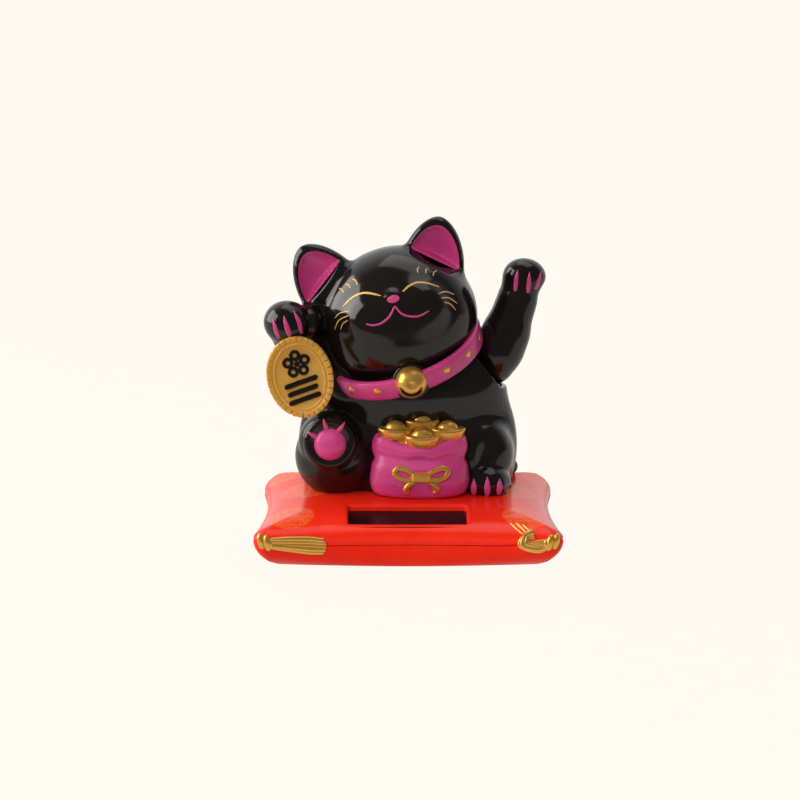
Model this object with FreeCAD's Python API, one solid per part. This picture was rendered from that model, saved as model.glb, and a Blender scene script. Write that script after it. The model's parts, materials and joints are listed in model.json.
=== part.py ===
import FreeCAD, Part
import math
import os

from FreeCAD import Vector

# Beckoning cat figurine: a hollow cat on a cushion-shaped base that holds a solar panel, a circuit
# board and a drive coil. The coil pushes a magnet on a pendulum lever, and the lever swings one arm.
# Millimetres. Origin at the middle of the footprint, on the surface the feet stand on. The face looks
# along -Y and +X is the viewer's right.

# ---- driving dimensions ------------------------------------------------------------------------

WALL = 1.6                      # moulded shells

# cushion base
BASE_HALF_X = 53.0
BASE_HALF_Y = 39.0
CORNER_RUN = 7.0                # how far each rounded corner reaches along a side
CORNER_CUT = 1.9                # how far the corner's middle is inside the square corner
SIDE_WAIST = 2.8                # how far each side pulls in at its middle
BASE_SEAM_Z = 9.8
BASE_BOTTOM_Z = 0.5
DECK_Z = 18.6
EDGE_INSET_TOP = 6.0
EDGE_RISE_TOP = 7.4
EDGE_INSET_BOTTOM = 11.0

# window and panel, tilted with the deck
WINDOW_CENTRE = Vector(-0.3, -23.5, 17.5)
WINDOW_SIZE = (42.0, 17.0)
WINDOW_TILT = 5.4
PANEL_DEPTH = 2.0               # glass face below the deck
PANEL_LAP = 1.0                 # glass hidden behind each edge of the window
PANEL_THICK = 1.4
CELL_THICK = 0.3

# fasteners
SCREW_R = 1.0
SCREW_HEAD_R = 2.0
SCREW_HEAD_H = 1.4
BOSS_R = 3.0
BASE_SCREW_X = 37.0
BASE_SCREW_Y = 24.0
FOOT_R = 4.5
FOOT_H = 1.4
FOOT_X = 30.0
FOOT_Y = 20.5

# cat
PARTING_Y = 9.0                 # plane between the front and the rear shell
BODY_BOTTOM_Z = 15.0            # below the deck; trimmed to it
BODY_SECTIONS = [               # height, centre x, centre y, half width, half depth
    (15.0, 0.0, 16.5, 34.0, 16.4),
    (20.0, 0.0, 16.5, 36.6, 17.8),
    (27.0, -0.2, 16.5, 38.8, 18.8),
    (34.0, -0.3, 16.5, 39.4, 19.0),
    (42.0, -0.2, 16.4, 38.4, 18.4),
    (50.0, 0.0, 16.0, 36.0, 17.6),
    (57.0, 0.0, 15.5, 33.0, 16.8),
    (64.0, 0.0, 14.5, 29.0, 16.0),
    (71.0, 0.0, 13.5, 24.0, 14.8),
    (77.0, -1.0, 12.5, 18.0, 12.6),
]
HEAD_CENTRE = Vector(-3.2, 10.0, 80.0)
HEAD_RADII = (27.9, 23.6, 25.9)
HEAD_ROLL = 13.5                # the head leans to the viewer's left
EAR_SPLAY = 22.0
EAR_LEFT_ROOT = Vector(-26.5, 9.0, 91.5)
EAR_RIGHT_ROOT = Vector(8.0, 9.0, 99.0)
EAR_SECTIONS = [                # distance up the ear, half width, half depth
    (0.0, 12.5, 7.0),
    (5.0, 11.0, 6.0),
    (10.0, 8.3, 4.6),
    (14.5, 4.6, 3.0),
    (17.6, 1.3, 1.2),
]
LINING_THICK = 0.8

# waving arm: a hinge across the figure, inside the flank
PIVOT = Vector(25.0, 15.0, 50.0)
SWING = 12.0                    # degrees each way
PIN_R = 1.0
PIN_CLEARANCE = 0.05
HUB_R = 3.4
HUB_HALF_X = 4.9
CHEEK_INNER = 5.4               # from the middle of the lever to each cheek
CHEEK_THICK = 2.0
CHEEK_HALF_Y = 5.0
CHEEK_TOP_R = 3.2
BRACKET_GAP = 0.4               # between the bracket and the shells round it
ARM_POINTS = [                  # centre and radius down the arm
    (Vector(28.6, 15.0, 61.2), 6.4),
    (Vector(34.8, 15.0, 73.0), 7.1),
    (Vector(38.9, 15.0, 87.0), 5.9),
]
PAW_CENTRE = Vector(41.3, 14.4, 94.5)
PAW_RADII = (7.8, 7.0, 6.5)
ARM_WALL = 1.3
ARM_CLEAR = 0.7                 # gap round the arm in its slot
MAGNET_R = 4.0
MAGNET_H = 3.0
MAGNET_BOTTOM_Z = 21.6
COUNTERWEIGHT_Y = 7.4           # block length front to back
COUNTERWEIGHT_Z = (27.0, 37.4)
COUNTERWEIGHT_BACK = -0.08      # trims the arm's balance front to back

# coin, bell, bag
COIN_CENTRE = Vector(-37.6, -8.6, 62.4)
COIN_RADII = (10.6, 14.4)
COIN_THICK = 2.6
COIN_ROLL = 13.0
COIN_RIM = 1.9
COIN_RELIEF = 0.5
COLLAR_CENTRE = Vector(0.0, 11.4, 70.2)
COLLAR_HALF = (27.0, 21.4)
COLLAR_WIDTH = 6.2
COLLAR_ROLL = 17.1
COLLAR_PITCH = 22.5
BELL_CENTRE = Vector(0.4, -10.6, 61.0)
BELL_R = 5.6
BAG_CENTRE = (4.2, -3.2)
BAG_SECTIONS = [                # height, half width, half depth
    (15.0, 14.0, 6.6),
    (19.0, 15.6, 7.4),
    (25.0, 17.1, 8.7),
    (31.0, 16.2, 8.1),
    (34.6, 15.4, 7.2),
    (38.5, 16.9, 8.2),
    (42.2, 17.2, 8.4),
]
BAG_WALL = 1.6
BAG_FLOOR_Z = 34.0
INGOTS = [                      # middle of each boat; the dome stands on it
    Vector(4.6, -1.8, 43.0),
    Vector(-4.6, -3.8, 40.2),
    Vector(13.7, -3.8, 40.2),
    Vector(4.8, -7.0, 38.2),
]


# ---- helpers -----------------------------------------------------------------------------------

def save(name, shape):
    """Write one sub-part as STEP."""
    solids = shape.Solids
    assert solids, name + " has no solid"
    out = solids[0] if len(solids) == 1 else Part.makeCompound(solids)
    print(f"{name:24s} solids {len(solids)}  volume {out.Volume:9.1f}  valid {out.isValid()}")
    out.exportStep("parts/" + name + ".step")


def box(low, high):
    return Part.makeBox(high[0] - low[0], high[1] - low[1], high[2] - low[2], Vector(*low))


def rod(start, end, radius):
    """Cylinder from one point to another."""
    return Part.makeCylinder(radius, (end - start).Length, start, end - start)


def ball(centre, radius):
    return Part.makeSphere(radius, centre)


def ellipsoid(centre, radii, roll=0.0, pitch=0.0):
    """Ellipsoid with its own axes, pitched about X and then rolled about Y so its right side lifts."""
    scale = FreeCAD.Matrix()
    scale.scale(*radii)
    shape = Part.makeSphere(1.0).transformGeometry(scale)
    return placed(shape, centre, roll, pitch)


def placed(shape, centre, roll=0.0, pitch=0.0):
    """Turn about X by pitch, then lift the right side by roll, then move to centre."""
    out = shape.copy()
    out.rotate(Vector(0, 0, 0), Vector(1, 0, 0), pitch)
    out.rotate(Vector(0, 0, 0), Vector(0, 1, 0), -roll)
    out.translate(centre)
    return out


def limb(points):
    """Rounded tapering limb through (centre, radius) pairs."""
    pieces = [ball(*points[0])]
    for (p0, r0), (p1, r1) in zip(points, points[1:]):
        axis = p1 - p0
        length = axis.Length
        axis.normalize()
        lean = (r0 - r1) / length
        side = math.sqrt(1 - lean * lean)
        start = p0 + axis * (r0 * lean)
        stop = p1 + axis * (r1 * lean)
        height = (stop - start).Length
        if abs(r0 - r1) < 1e-6:
            pieces.append(Part.makeCylinder(r0, height, start, axis))
        else:
            pieces.append(Part.makeCone(r0 * side, r1 * side, height, start, axis))
        pieces.append(ball(p1, r1))
    return pieces[0].fuse(pieces[1:]).removeSplitter()


def ellipse_wire(centre, half_x, half_y):
    return Part.Wire(Part.Ellipse(centre, half_x, half_y).toShape())


def loft(sections):
    """Smooth solid through (z, centre x, centre y, half width, half depth) ellipses."""
    wires = [ellipse_wire(Vector(cx, cy, z), hx, hy) for z, cx, cy, hx, hy in sections]
    return Part.makeLoft(wires, True, False)


def screw(tip, head, head_radius=SCREW_HEAD_R):
    """Pan-head screw: the shank runs from tip to the underside of the head, the head lies beyond."""
    axis = head - tip
    axis.normalize()
    shank = rod(tip, head, SCREW_R)
    cap = rod(head, head + axis * SCREW_HEAD_H, head_radius)
    slot = placed(Part.makeBox(2.6, 0.5, 0.5, Vector(-1.3, -0.25, -0.5)), Vector(0, 0, 0))
    slot.Placement = FreeCAD.Placement(
        head + axis * SCREW_HEAD_H, FreeCAD.Rotation(Vector(0, 0, 1), axis)
    ).multiply(slot.Placement)
    return shank.fuse(cap).cut(slot)


def mirrored_pairs(x, y):
    return [(sx * x, sy * y) for sx in (-1, 1) for sy in (-1, 1)]


def wire_run(points, radius, bend):
    """Insulated lead: straight runs joined by tangent arcs of one bend radius."""
    edges = []
    last = points[0]
    for before, corner, after in zip(points, points[1:], points[2:]):
        to_corner = (corner - before).normalize()
        from_corner = (after - corner).normalize()
        turn = to_corner.getAngle(from_corner)
        reach = bend * math.tan(turn / 2)
        start = corner - to_corner * reach
        stop = corner + from_corner * reach
        inward = (from_corner - to_corner).normalize()
        middle = corner + inward * (bend / math.cos(turn / 2) - bend)
        edges.append(Part.LineSegment(last, start).toShape())
        edges.append(Part.Arc(start, middle, stop).toShape())
        last = stop
    edges.append(Part.LineSegment(last, points[-1]).toShape())
    path = Part.Wire(edges)
    section = Part.Wire(Part.Circle(points[0], points[1] - points[0], radius).toShape())
    lead = path.makePipeShell([section], True, False)
    expected = math.pi * radius * radius * path.Length
    print(f"    lead {path.Length:.1f} mm, volume {lead.Volume:.1f} of {expected:.1f}")
    return lead


# ---- cushion base ------------------------------------------------------------------------------

def cushion_wire(inset, z):
    """Closed outline of the cushion: four rounded corners and four sides that pull in."""
    hx = BASE_HALF_X - inset
    hy = BASE_HALF_Y - inset
    run = CORNER_RUN
    cut = CORNER_CUT
    edges = []
    for sx, sy in ((1, 1), (-1, 1), (-1, -1), (1, -1)):
        on_x = Vector(sx * hx, sy * (hy - run), z)
        corner = Vector(sx * (hx - cut), sy * (hy - cut), z)
        on_y = Vector(sx * (hx - run), sy * hy, z)
        ordered = (on_x, corner, on_y) if sx == sy else (on_y, corner, on_x)
        edges.append(Part.Arc(*ordered).toShape())
        if sx == sy:
            side = Vector(0, sy * (hy - SIDE_WAIST), z)
            far = Vector(-sx * (hx - run), sy * hy, z)
        else:
            side = Vector(sx * (hx - SIDE_WAIST), 0, z)
            far = Vector(sx * hx, -sy * (hy - run), z)
        edges.append(Part.Arc(ordered[2], side, far).toShape())
    return Part.Wire(edges)


def cushion_top(wall):
    """Upper half of the cushion, wall millimetres inside the outer surface."""
    wires = []
    for degrees in (0, 25, 50, 75):
        angle = math.radians(degrees)
        inset = EDGE_INSET_TOP * (1 - math.cos(angle)) + wall
        wires.append(cushion_wire(inset, BASE_SEAM_Z + (EDGE_RISE_TOP - wall) * math.sin(angle)))
    for inset, below_deck in ((11.0, 0.75), (17.0, 0.0)):
        wires.append(cushion_wire(inset + wall, DECK_Z - wall - below_deck))
    return Part.makeLoft(wires, True, False)


def cushion_bottom(wall):
    """Lower half of the cushion, down to its flat underside."""
    rise = BASE_SEAM_Z - BASE_BOTTOM_Z - wall
    wires = []
    for degrees in (0, 30, 60, 90):
        angle = math.radians(degrees)
        inset = EDGE_INSET_BOTTOM * (1 - math.cos(angle)) + wall
        wires.append(cushion_wire(inset, BASE_SEAM_Z - rise * math.sin(angle)))
    return Part.makeLoft(wires, True, False)


def on_deck(shape):
    """Lay a shape drawn about the window's middle on the tilted deck."""
    return placed(shape, WINDOW_CENTRE, pitch=WINDOW_TILT)


def window_slab(grow, z_low, z_high):
    half_x = WINDOW_SIZE[0] / 2 + grow
    half_y = WINDOW_SIZE[1] / 2 + grow
    return on_deck(box((-half_x, -half_y, z_low), (half_x, half_y, z_high)))


top_outer = cushion_top(0.0)
top_inner = cushion_top(WALL)
bottom_outer = cushion_bottom(0.0)
bottom_inner = cushion_bottom(WALL)

BOARD_CENTRE = Vector(-16.0, 12.0, 6.0)     # underside of the circuit board
BOARD_SIZE = (30.0, 22.0, 1.2)
COIL_CENTRE = Vector(PIVOT.x, PIVOT.y, 8.0)     # underside of the bobbin
BOBBIN_R = 8.0
BOBBIN_H = 7.0
WINDING_R = 7.4
CORE_R = 3.2
PEG_R = 2.0

base_screw_places = mirrored_pairs(BASE_SCREW_X, BASE_SCREW_Y)
board_screw_places = [
    (BOARD_CENTRE.x - BOARD_SIZE[0] / 2 + 3, BOARD_CENTRE.y - BOARD_SIZE[1] / 2 + 3),
    (BOARD_CENTRE.x + BOARD_SIZE[0] / 2 - 3, BOARD_CENTRE.y + BOARD_SIZE[1] / 2 - 3),
]
cat_screw_places = [(-9.0, 2.2), (12.0, 2.2), (-12.0, 30.2), (12.0, 30.2)]
bracket_screw_places = [(PIVOT.x, PIVOT.y - 7.6), (PIVOT.x, PIVOT.y + 7.6)]
COUNTERBORE_Z = 3.6             # where the base screws' heads seat
DECK_UNDERSIDE = DECK_Z - WALL

base_screws = [screw(Vector(x, y, 14.5), Vector(x, y, COUNTERBORE_Z)) for x, y in base_screw_places]
board_top = BOARD_CENTRE.z + BOARD_SIZE[2]
board_screws = [screw(Vector(x, y, 3.0), Vector(x, y, board_top)) for x, y in board_screw_places]
cat_screws = [screw(Vector(x, y, 25.0), Vector(x, y, DECK_UNDERSIDE)) for x, y in cat_screw_places]
bracket_screws = [
    screw(Vector(x, y, 20.2), Vector(x, y, DECK_UNDERSIDE)) for x, y in bracket_screw_places
]


def base_top_shell():
    shell = top_outer.cut(top_inner)
    frame = window_slab(3.0, -6.0, 2.0).common(top_outer)
    bosses = [rod(Vector(x, y, BASE_SEAM_Z), Vector(x, y, 17.5), BOSS_R).common(top_outer)
              for x, y in base_screw_places]
    shell = shell.fuse([frame] + bosses)
    shell = shell.cut(window_slab(0.0, -7.0, 4.0))
    shell = shell.cut(window_slab(PANEL_LAP, -7.0, -PANEL_DEPTH))
    return shell.cut(base_screws + cat_screws + bracket_screws)


def base_bottom_shell():
    shell = bottom_outer.cut(bottom_inner)
    floor = BASE_BOTTOM_Z + WALL
    posts = [rod(Vector(x, y, BASE_BOTTOM_Z), Vector(x, y, BASE_SEAM_Z), BOSS_R + 0.6)
             .common(bottom_outer) for x, y in base_screw_places]
    posts += [rod(Vector(x, y, floor - 0.5), Vector(x, y, BOARD_CENTRE.z), 2.4)
              for x, y in board_screw_places]
    posts.append(rod(Vector(COIL_CENTRE.x, COIL_CENTRE.y, floor - 0.5), COIL_CENTRE, 5.0))
    posts.append(rod(COIL_CENTRE, COIL_CENTRE + Vector(0, 0, 5), PEG_R))
    shell = shell.fuse(posts)
    wells = [rod(Vector(x, y, BASE_BOTTOM_Z - 1), Vector(x, y, COUNTERBORE_Z), SCREW_HEAD_R + 0.2)
             for x, y in base_screw_places]
    seats = [rod(Vector(x, y, BASE_BOTTOM_Z - 1), Vector(x, y, FOOT_H - 0.2), FOOT_R)
             for x, y in mirrored_pairs(FOOT_X, FOOT_Y)]
    return shell.cut(wells + seats).cut(base_screws + board_screws)


def rubber_feet():
    return Part.makeCompound([rod(Vector(x, y, 0), Vector(x, y, FOOT_H - 0.2), FOOT_R - 0.1)
                              for x, y in mirrored_pairs(FOOT_X, FOOT_Y)])


def solar_panel():
    return window_slab(PANEL_LAP - 0.1, -PANEL_DEPTH - PANEL_THICK, -PANEL_DEPTH)


def solar_cell():
    back = -PANEL_DEPTH - PANEL_THICK
    return window_slab(0.2, back - CELL_THICK, back)


def circuit_board():
    half_x = BOARD_SIZE[0] / 2
    half_y = BOARD_SIZE[1] / 2
    plate = box((-half_x, -half_y, 0), (half_x, half_y, BOARD_SIZE[2]))
    plate = plate.makeFillet(1.5, [e for e in plate.Edges if abs(e.tangentAt(0).z) > 0.9])
    plate.translate(BOARD_CENTRE)
    return plate.cut(board_screws)


def driver_chip():
    """Drop of black epoxy over the bare chip."""
    centre = Vector(BOARD_CENTRE.x - 3, BOARD_CENTRE.y - 3, board_top)
    drop = ellipsoid(centre, (3.6, 3.2, 1.6))
    return drop.common(box((-60, -60, board_top), (60, 60, 30)))


def storage_capacitor():
    """Radial electrolytic can laid on its side, with its end groove."""
    z = board_top + 3.2
    start = Vector(BOARD_CENTRE.x - 5, BOARD_CENTRE.y + 6.4, z)
    can = rod(start, start + Vector(11, 0, 0), 3.15)
    groove = Part.makeTorus(3.35, 0.4, start + Vector(9.3, 0, 0), Vector(1, 0, 0))
    return can.cut(groove)


def coil_bobbin():
    low = COIL_CENTRE
    top = COIL_CENTRE + Vector(0, 0, BOBBIN_H)
    flanges = [rod(low, low + Vector(0, 0, 1), BOBBIN_R), rod(top - Vector(0, 0, 1), top, BOBBIN_R)]
    body = rod(low, top, CORE_R).fuse(flanges)
    return body.cut(rod(low - Vector(0, 0, 1), low + Vector(0, 0, 5), PEG_R))


def drive_coil():
    low = COIL_CENTRE + Vector(0, 0, 1)
    high = COIL_CENTRE + Vector(0, 0, BOBBIN_H - 1)
    return rod(low, high, WINDING_R).cut(rod(low, high, CORE_R))


LEAD_R = 0.45


def solar_leads():
    """Two leads from the cell's back to the front edge of the board."""
    leads = []
    for offset in (-1.0, 1.0):
        x = BOARD_CENTRE.x + 6 + offset * 1.2
        start = Vector(x, -19.5, 12.6)
        route = [start, Vector(x, -19.5, 9.2), Vector(x, 2.4, 9.2), Vector(x, 2.4, board_top)]
        leads.append(wire_run(route, LEAD_R, 2.5 if offset < 0 else 2.2))
    cell = solar_cell()
    return Part.makeCompound([lead.cut(cell) for lead in leads])


def coil_leads():
    """Two fine leads from the winding to the right edge of the board."""
    leads = []
    edge = BOARD_CENTRE.x + BOARD_SIZE[0] / 2 - 2
    for offset in (-1.0, 1.0):
        y = PIVOT.y + offset * 1.5 - 3
        z = COIL_CENTRE.z + 3
        near = Vector(PIVOT.x - math.sqrt(WINDING_R ** 2 - (y - PIVOT.y) ** 2) - 0.02, y, z)
        route = [near, Vector(edge, y, z), Vector(edge, y, board_top)]
        leads.append(wire_run(route, 0.25, 1.6))
    return Part.makeCompound(leads)


def tassel(sx, sy):
    """Cord knot at the cushion's corner and a flat skirt lying along the front or rear face."""
    tip = Vector(sx * (BASE_HALF_X - 3.4), sy * (BASE_HALF_Y - 1.9), BASE_SEAM_Z + 0.6)
    knot = ellipsoid(tip, (2.9, 2.6, 3.0))
    skirt = [                   # distance along the face, set back from the tip, half depth, half height
        (1.0, 0.2, 1.3, 1.6),
        (4.0, 0.5, 1.0, 1.3),
        (9.0, 0.2, 1.1, 2.1),
        (15.0, 0.0, 1.2, 2.8),
        (20.0, 0.1, 1.2, 3.3),
    ]
    wires = [ellipse_wire(Vector(0, 0, 0), half_height, half_depth)
             for _, _, half_depth, half_height in skirt]
    for wire, (along, back, _, _) in zip(wires, skirt):
        wire.rotate(Vector(0, 0, 0), Vector(0, 1, 0), -sx * 90)
        wire.translate(tip + Vector(-sx * along, sy * back, 0))
    return knot.fuse(Part.makeLoft(wires, True, False)).cut([top_outer, bottom_outer])


# ---- cat ---------------------------------------------------------------------------------------

def inset_sections(amount, bottom):
    out = []
    for z, cx, cy, hx, hy in BODY_SECTIONS:
        out.append((z, cx, cy, hx - amount, hy - amount))
    first = out[0]
    out[0] = (bottom,) + first[1:]
    return out


def ear(root, angle, inset=0.0):
    """Tapering rounded ear; angle leans it to the viewer's right."""
    wires = [ellipse_wire(Vector(0, 0, z), hx - inset, hy - inset * 0.6)
             for z, hx, hy in EAR_SECTIONS if hx - inset > 1.0]
    return placed(Part.makeLoft(wires, True, False), root, roll=-angle)


def ear_lining(root, angle):
    """Thin rounded plate at the bottom of the ear's pocket, and the pocket in front of it."""
    inner = ear(root, angle, inset=2.2)
    slab_low = root.y - 3.4
    slab = box((-80, slab_low, 40), (80, slab_low + LINING_THICK, 130))
    lining = inner.common(slab)
    front = min(lining.Faces, key=lambda f: f.CenterOfMass.y)
    pocket = front.extrude(Vector(0, -12, 0))
    head_clear = ellipsoid(HEAD_CENTRE, [r - 0.9 for r in HEAD_RADII], HEAD_ROLL)
    return lining.cut(head_clear), pocket.cut(head_clear)


def arm_shape(grow):
    """The waving arm's outer form, grown or shrunk all over."""
    points = [(centre, radius + grow) for centre, radius in ARM_POINTS]
    paw = ellipsoid(PAW_CENTRE, [r + grow for r in PAW_RADII], roll=-8)
    return limb(points).fuse(paw)


def arm_slot():
    """Wedge of the flank that the arm sweeps through, open to the outside."""
    reach = 34.0
    half_width = ARM_POINTS[0][1] + ARM_CLEAR
    rise = 3.4
    lean = math.tan(math.radians(SWING))
    low = half_width + 0.6
    high = half_width + 0.5 + reach * lean * 0.80
    profile = [
        Vector(0, PIVOT.y - low, PIVOT.z + rise),
        Vector(0, PIVOT.y + low, PIVOT.z + rise),
        Vector(0, PIVOT.y + high, PIVOT.z + reach),
        Vector(0, PIVOT.y - high, PIVOT.z + reach),
        Vector(0, PIVOT.y - low, PIVOT.z + rise),
    ]
    face = Part.Face(Part.makePolygon(profile))
    face.translate(Vector(20.6, 0, 0))
    return face.extrude(Vector(40, 0, 0))


raised_arm = [(Vector(-26.5, 9.5, 53.0), 9.0), (Vector(-36.5, 4.0, 68.0), 8.0),
              (Vector(-41.0, 1.0, 77.0), 7.2)]
raised_paw = (Vector(-42.4, -1.6, 80.6), (8.2, 8.6, 7.6))
haunch = (Vector(-26.0, 5.0, 31.5), (14.2, 13.5, 14.6))
sole_foot = (Vector(-27.4, 0.5, 38.0), (9.9, 9.2, 9.9))
right_foot = (Vector(28.4, 2.2, 22.4), (7.9, 8.6, 5.8))
right_leg = (Vector(24.0, 7.0, 31.0), (13.0, 12.6, 13.5))
chest = (Vector(0.0, 8.0, 57.0), (22.0, 14.0, 13.0))
muzzle = (Vector(-5.2, -9.6, 88.6), (6.5, 5.0, 5.6))
tail_points = [(Vector(20.0, 31.0, 23.0), 3.2), (Vector(31.0, 30.0, 22.6), 3.2),
               (Vector(37.0, 25.5, 22.6), 3.1)]

body_outer = loft(BODY_SECTIONS).cut(arm_slot())
body_inner = loft(inset_sections(WALL, BODY_BOTTOM_Z - 1))
head_outer = ellipsoid(HEAD_CENTRE, HEAD_RADII, HEAD_ROLL)
head_inner = ellipsoid(HEAD_CENTRE, [r - WALL for r in HEAD_RADII], HEAD_ROLL)
left_angle = -HEAD_ROLL - EAR_SPLAY
right_angle = -HEAD_ROLL + EAR_SPLAY
lining_left, pocket_left = ear_lining(EAR_LEFT_ROOT, left_angle)
lining_right, pocket_right = ear_lining(EAR_RIGHT_ROOT, right_angle)

chest_outer = ellipsoid(*chest).cut(arm_slot())
cat_outer = body_outer.fuse([
    head_outer,
    chest_outer,
    ear(EAR_LEFT_ROOT, left_angle),
    ear(EAR_RIGHT_ROOT, right_angle),
    limb(raised_arm),
    ellipsoid(*raised_paw),
    ellipsoid(*haunch),
    ellipsoid(*sole_foot),
    ellipsoid(*right_foot),
    ellipsoid(*right_leg),
    ellipsoid(*muzzle),
    limb(tail_points),
])
cavity = body_inner.fuse([
    head_inner,
    ellipsoid(chest[0], [r - WALL for r in chest[1]]),
    limb([(centre, radius - WALL) for centre, radius in raised_arm]),
    ellipsoid(haunch[0], [r - WALL for r in haunch[1]]),
])
cat_hollow = cat_outer.cut(cavity).cut([top_outer, pocket_left, pocket_right, lining_left, lining_right])


def cat_half(front):
    """One moulded shell: half the hollow cat, with its screw bosses."""
    far = 80.0
    span = (-far, PARTING_Y) if front else (PARTING_Y, far)
    half_space = box((-far, span[0], 10), (far, span[1], 130))
    half = cat_hollow.common(half_space)
    bosses = []
    for x, y in cat_screw_places:
        if (y < PARTING_Y) == front:
            bosses.append(rod(Vector(x, y, 17.0), Vector(x, y, 28.0), BOSS_R))
    bosses = [boss.common(cat_outer).cut(top_outer) for boss in bosses]
    return half.fuse(bosses).cut(cat_screws)


def trimmed(shape, *others):
    """Cut a trim piece back to the surfaces that it lies on."""
    return shape.cut([cat_outer, top_outer] + list(others))


def on_front(ellipse, dx, dz, lift):
    """Point over an ellipsoid's front, dx and dz from its centre, lifted out of the surface."""
    centre, radii = ellipse
    depth = radii[1] * math.sqrt(1 - (dx / radii[0]) ** 2 - (dz / radii[2]) ** 2)
    return centre + Vector(dx, -depth - lift, dz)


def claw_marks(ellipse, strokes, radius):
    """Raised strokes down a paw; each stroke runs from (dx, dz) to (dx, dz)."""
    marks = []
    for (x0, z0), (x1, z1) in strokes:
        points = [(x0, z0), ((x0 + x1) / 2, (z0 + z1) / 2), (x1, z1)]
        path = [(on_front(ellipse, x, z, 0.0), radius) for x, z in points]
        marks.append(limb(path))
    return Part.makeCompound(marks)


# ---- what the cat wears and holds --------------------------------------------------------------

def collar_band():
    outer = Part.Face(ellipse_wire(Vector(0, 0, 0), *COLLAR_HALF)).extrude(Vector(0, 0, COLLAR_WIDTH))
    inner = Part.Face(ellipse_wire(Vector(0, 0, 0), *[h - 6.0 for h in COLLAR_HALF]))
    band = outer.cut(inner.extrude(Vector(0, 0, COLLAR_WIDTH)))
    rounding = [e for e in band.Edges if e.BoundBox.XLength > 2 * COLLAR_HALF[0] - 1]
    band = band.makeFillet(1.2, rounding)
    band.translate(Vector(0, 0, -COLLAR_WIDTH / 2))
    return placed(band, COLLAR_CENTRE, COLLAR_ROLL, COLLAR_PITCH)


collar = max(trimmed(collar_band()).Solids, key=lambda solid: solid.Volume)


def collar_bell():
    bell = ball(BELL_CENTRE, BELL_R)
    slot = box((-60, -60, -0.7), (60, 60, 0.7))
    slot.rotate(Vector(0, 0, 0), Vector(0, 1, 0), -8)
    slot.translate(BELL_CENTRE + Vector(0, 0, -2.6))
    shell = bell.cut(ball(BELL_CENTRE, BELL_R - 1.2))
    return trimmed(shell.cut(slot.common(box((-40, -60, 0), (40, BELL_CENTRE.y, 120)))), collar)


def coin_blank(thickness, inset, front_y):
    plate = Part.Face(ellipse_wire(Vector(0, 0, 0), COIN_RADII[1] - inset, COIN_RADII[0] - inset))
    plate = plate.extrude(Vector(0, 0, thickness))
    plate.rotate(Vector(0, 0, 0), Vector(1, 0, 0), -90)
    plate.rotate(Vector(0, 0, 0), Vector(0, 1, 0), 90 + COIN_ROLL)
    plate.translate(Vector(COIN_CENTRE.x, front_y, COIN_CENTRE.z))
    return plate


coin_front = COIN_CENTRE.y - COIN_THICK / 2


def coin():
    blank = coin_blank(COIN_THICK, 0.0, coin_front)
    recess = coin_blank(COIN_RELIEF, COIN_RIM, coin_front)
    return trimmed(blank.cut(recess))


def coin_emblem():
    """Plain five-petal blossom over three bars, raised from the coin's field."""
    floor = coin_front + COIN_RELIEF
    relief = 0.45
    tools = []
    blossom_up = 3.6
    for index in range(5):
        angle = math.radians(90 + 72 * index)
        x = 2.5 * math.cos(angle)
        z = blossom_up + 2.5 * math.sin(angle)
        tools.append(Part.makeCylinder(1.35, relief, Vector(x, 0, z), Vector(0, -1, 0)))
    tools.append(Part.makeCylinder(0.9, relief, Vector(0, 0, blossom_up), Vector(0, -1, 0)))
    for half_width, z in ((4.6, -2.6), (4.2, -5.2), (3.2, -7.8)):
        tools.append(box((-half_width, -relief, z - 0.6), (half_width, 0, z + 0.6)))
    return trimmed(placed(Part.makeCompound(tools), Vector(COIN_CENTRE.x, floor, COIN_CENTRE.z),
                          roll=-COIN_ROLL))


def bag_loft(inset, low=None):
    rows = [(z, BAG_CENTRE[0], BAG_CENTRE[1], hx - inset, hy - inset) for z, hx, hy in BAG_SECTIONS]
    return loft(rows if low is None else [row for row in rows if row[0] > low])


bag_outer = bag_loft(0.0)
bag_mouth = bag_loft(BAG_WALL).common(box((-60, -60, BAG_FLOOR_Z), (60, 60, 60)))


def money_bag():
    return trimmed(bag_outer.cut(bag_mouth))


def gold_ingots():
    """Boat-shaped ingots, each with a dome, resting on each other in the bag's mouth."""
    whole = []
    for centre in INGOTS:
        boat = ellipsoid(centre, (5.4, 3.5, 3.0))
        dome = ellipsoid(centre + Vector(0, 0, 1.9), (2.9, 2.7, 2.9))
        ingot = boat.fuse(dome)
        ingot = ingot.cut(bag_outer.cut(bag_mouth))
        whole.append(trimmed(ingot, *whole).Solids[0])
    return Part.makeCompound(whole)


def bag_bow():
    """Knot, two loops and two tails, lying on the front of the bag."""
    knot_at = Vector(4.6, BAG_CENTRE[1] - 8.7, 27.6)
    shapes = [ball(knot_at, 1.7)]
    for sx in (-1, 1):
        loop_at = knot_at + Vector(sx * 4.4, 0.4, 0.5)
        loop = Part.makeTorus(2.5, 0.8, Vector(0, 0, 0), Vector(0, 1, 0))
        loop.rotate(Vector(0, 0, 0), Vector(0, 0, 1), sx * 12)
        loop.translate(loop_at)
        tail_start = knot_at + Vector(sx * 0.8, 0.0, -0.8)
        tail_end = knot_at + Vector(sx * 4.4, 0.3, -6.4)
        shapes += [loop, limb([(tail_start, 0.8), (tail_end, 0.9)])]
    return shapes[0].fuse(shapes[1:]).cut(bag_outer)


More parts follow.
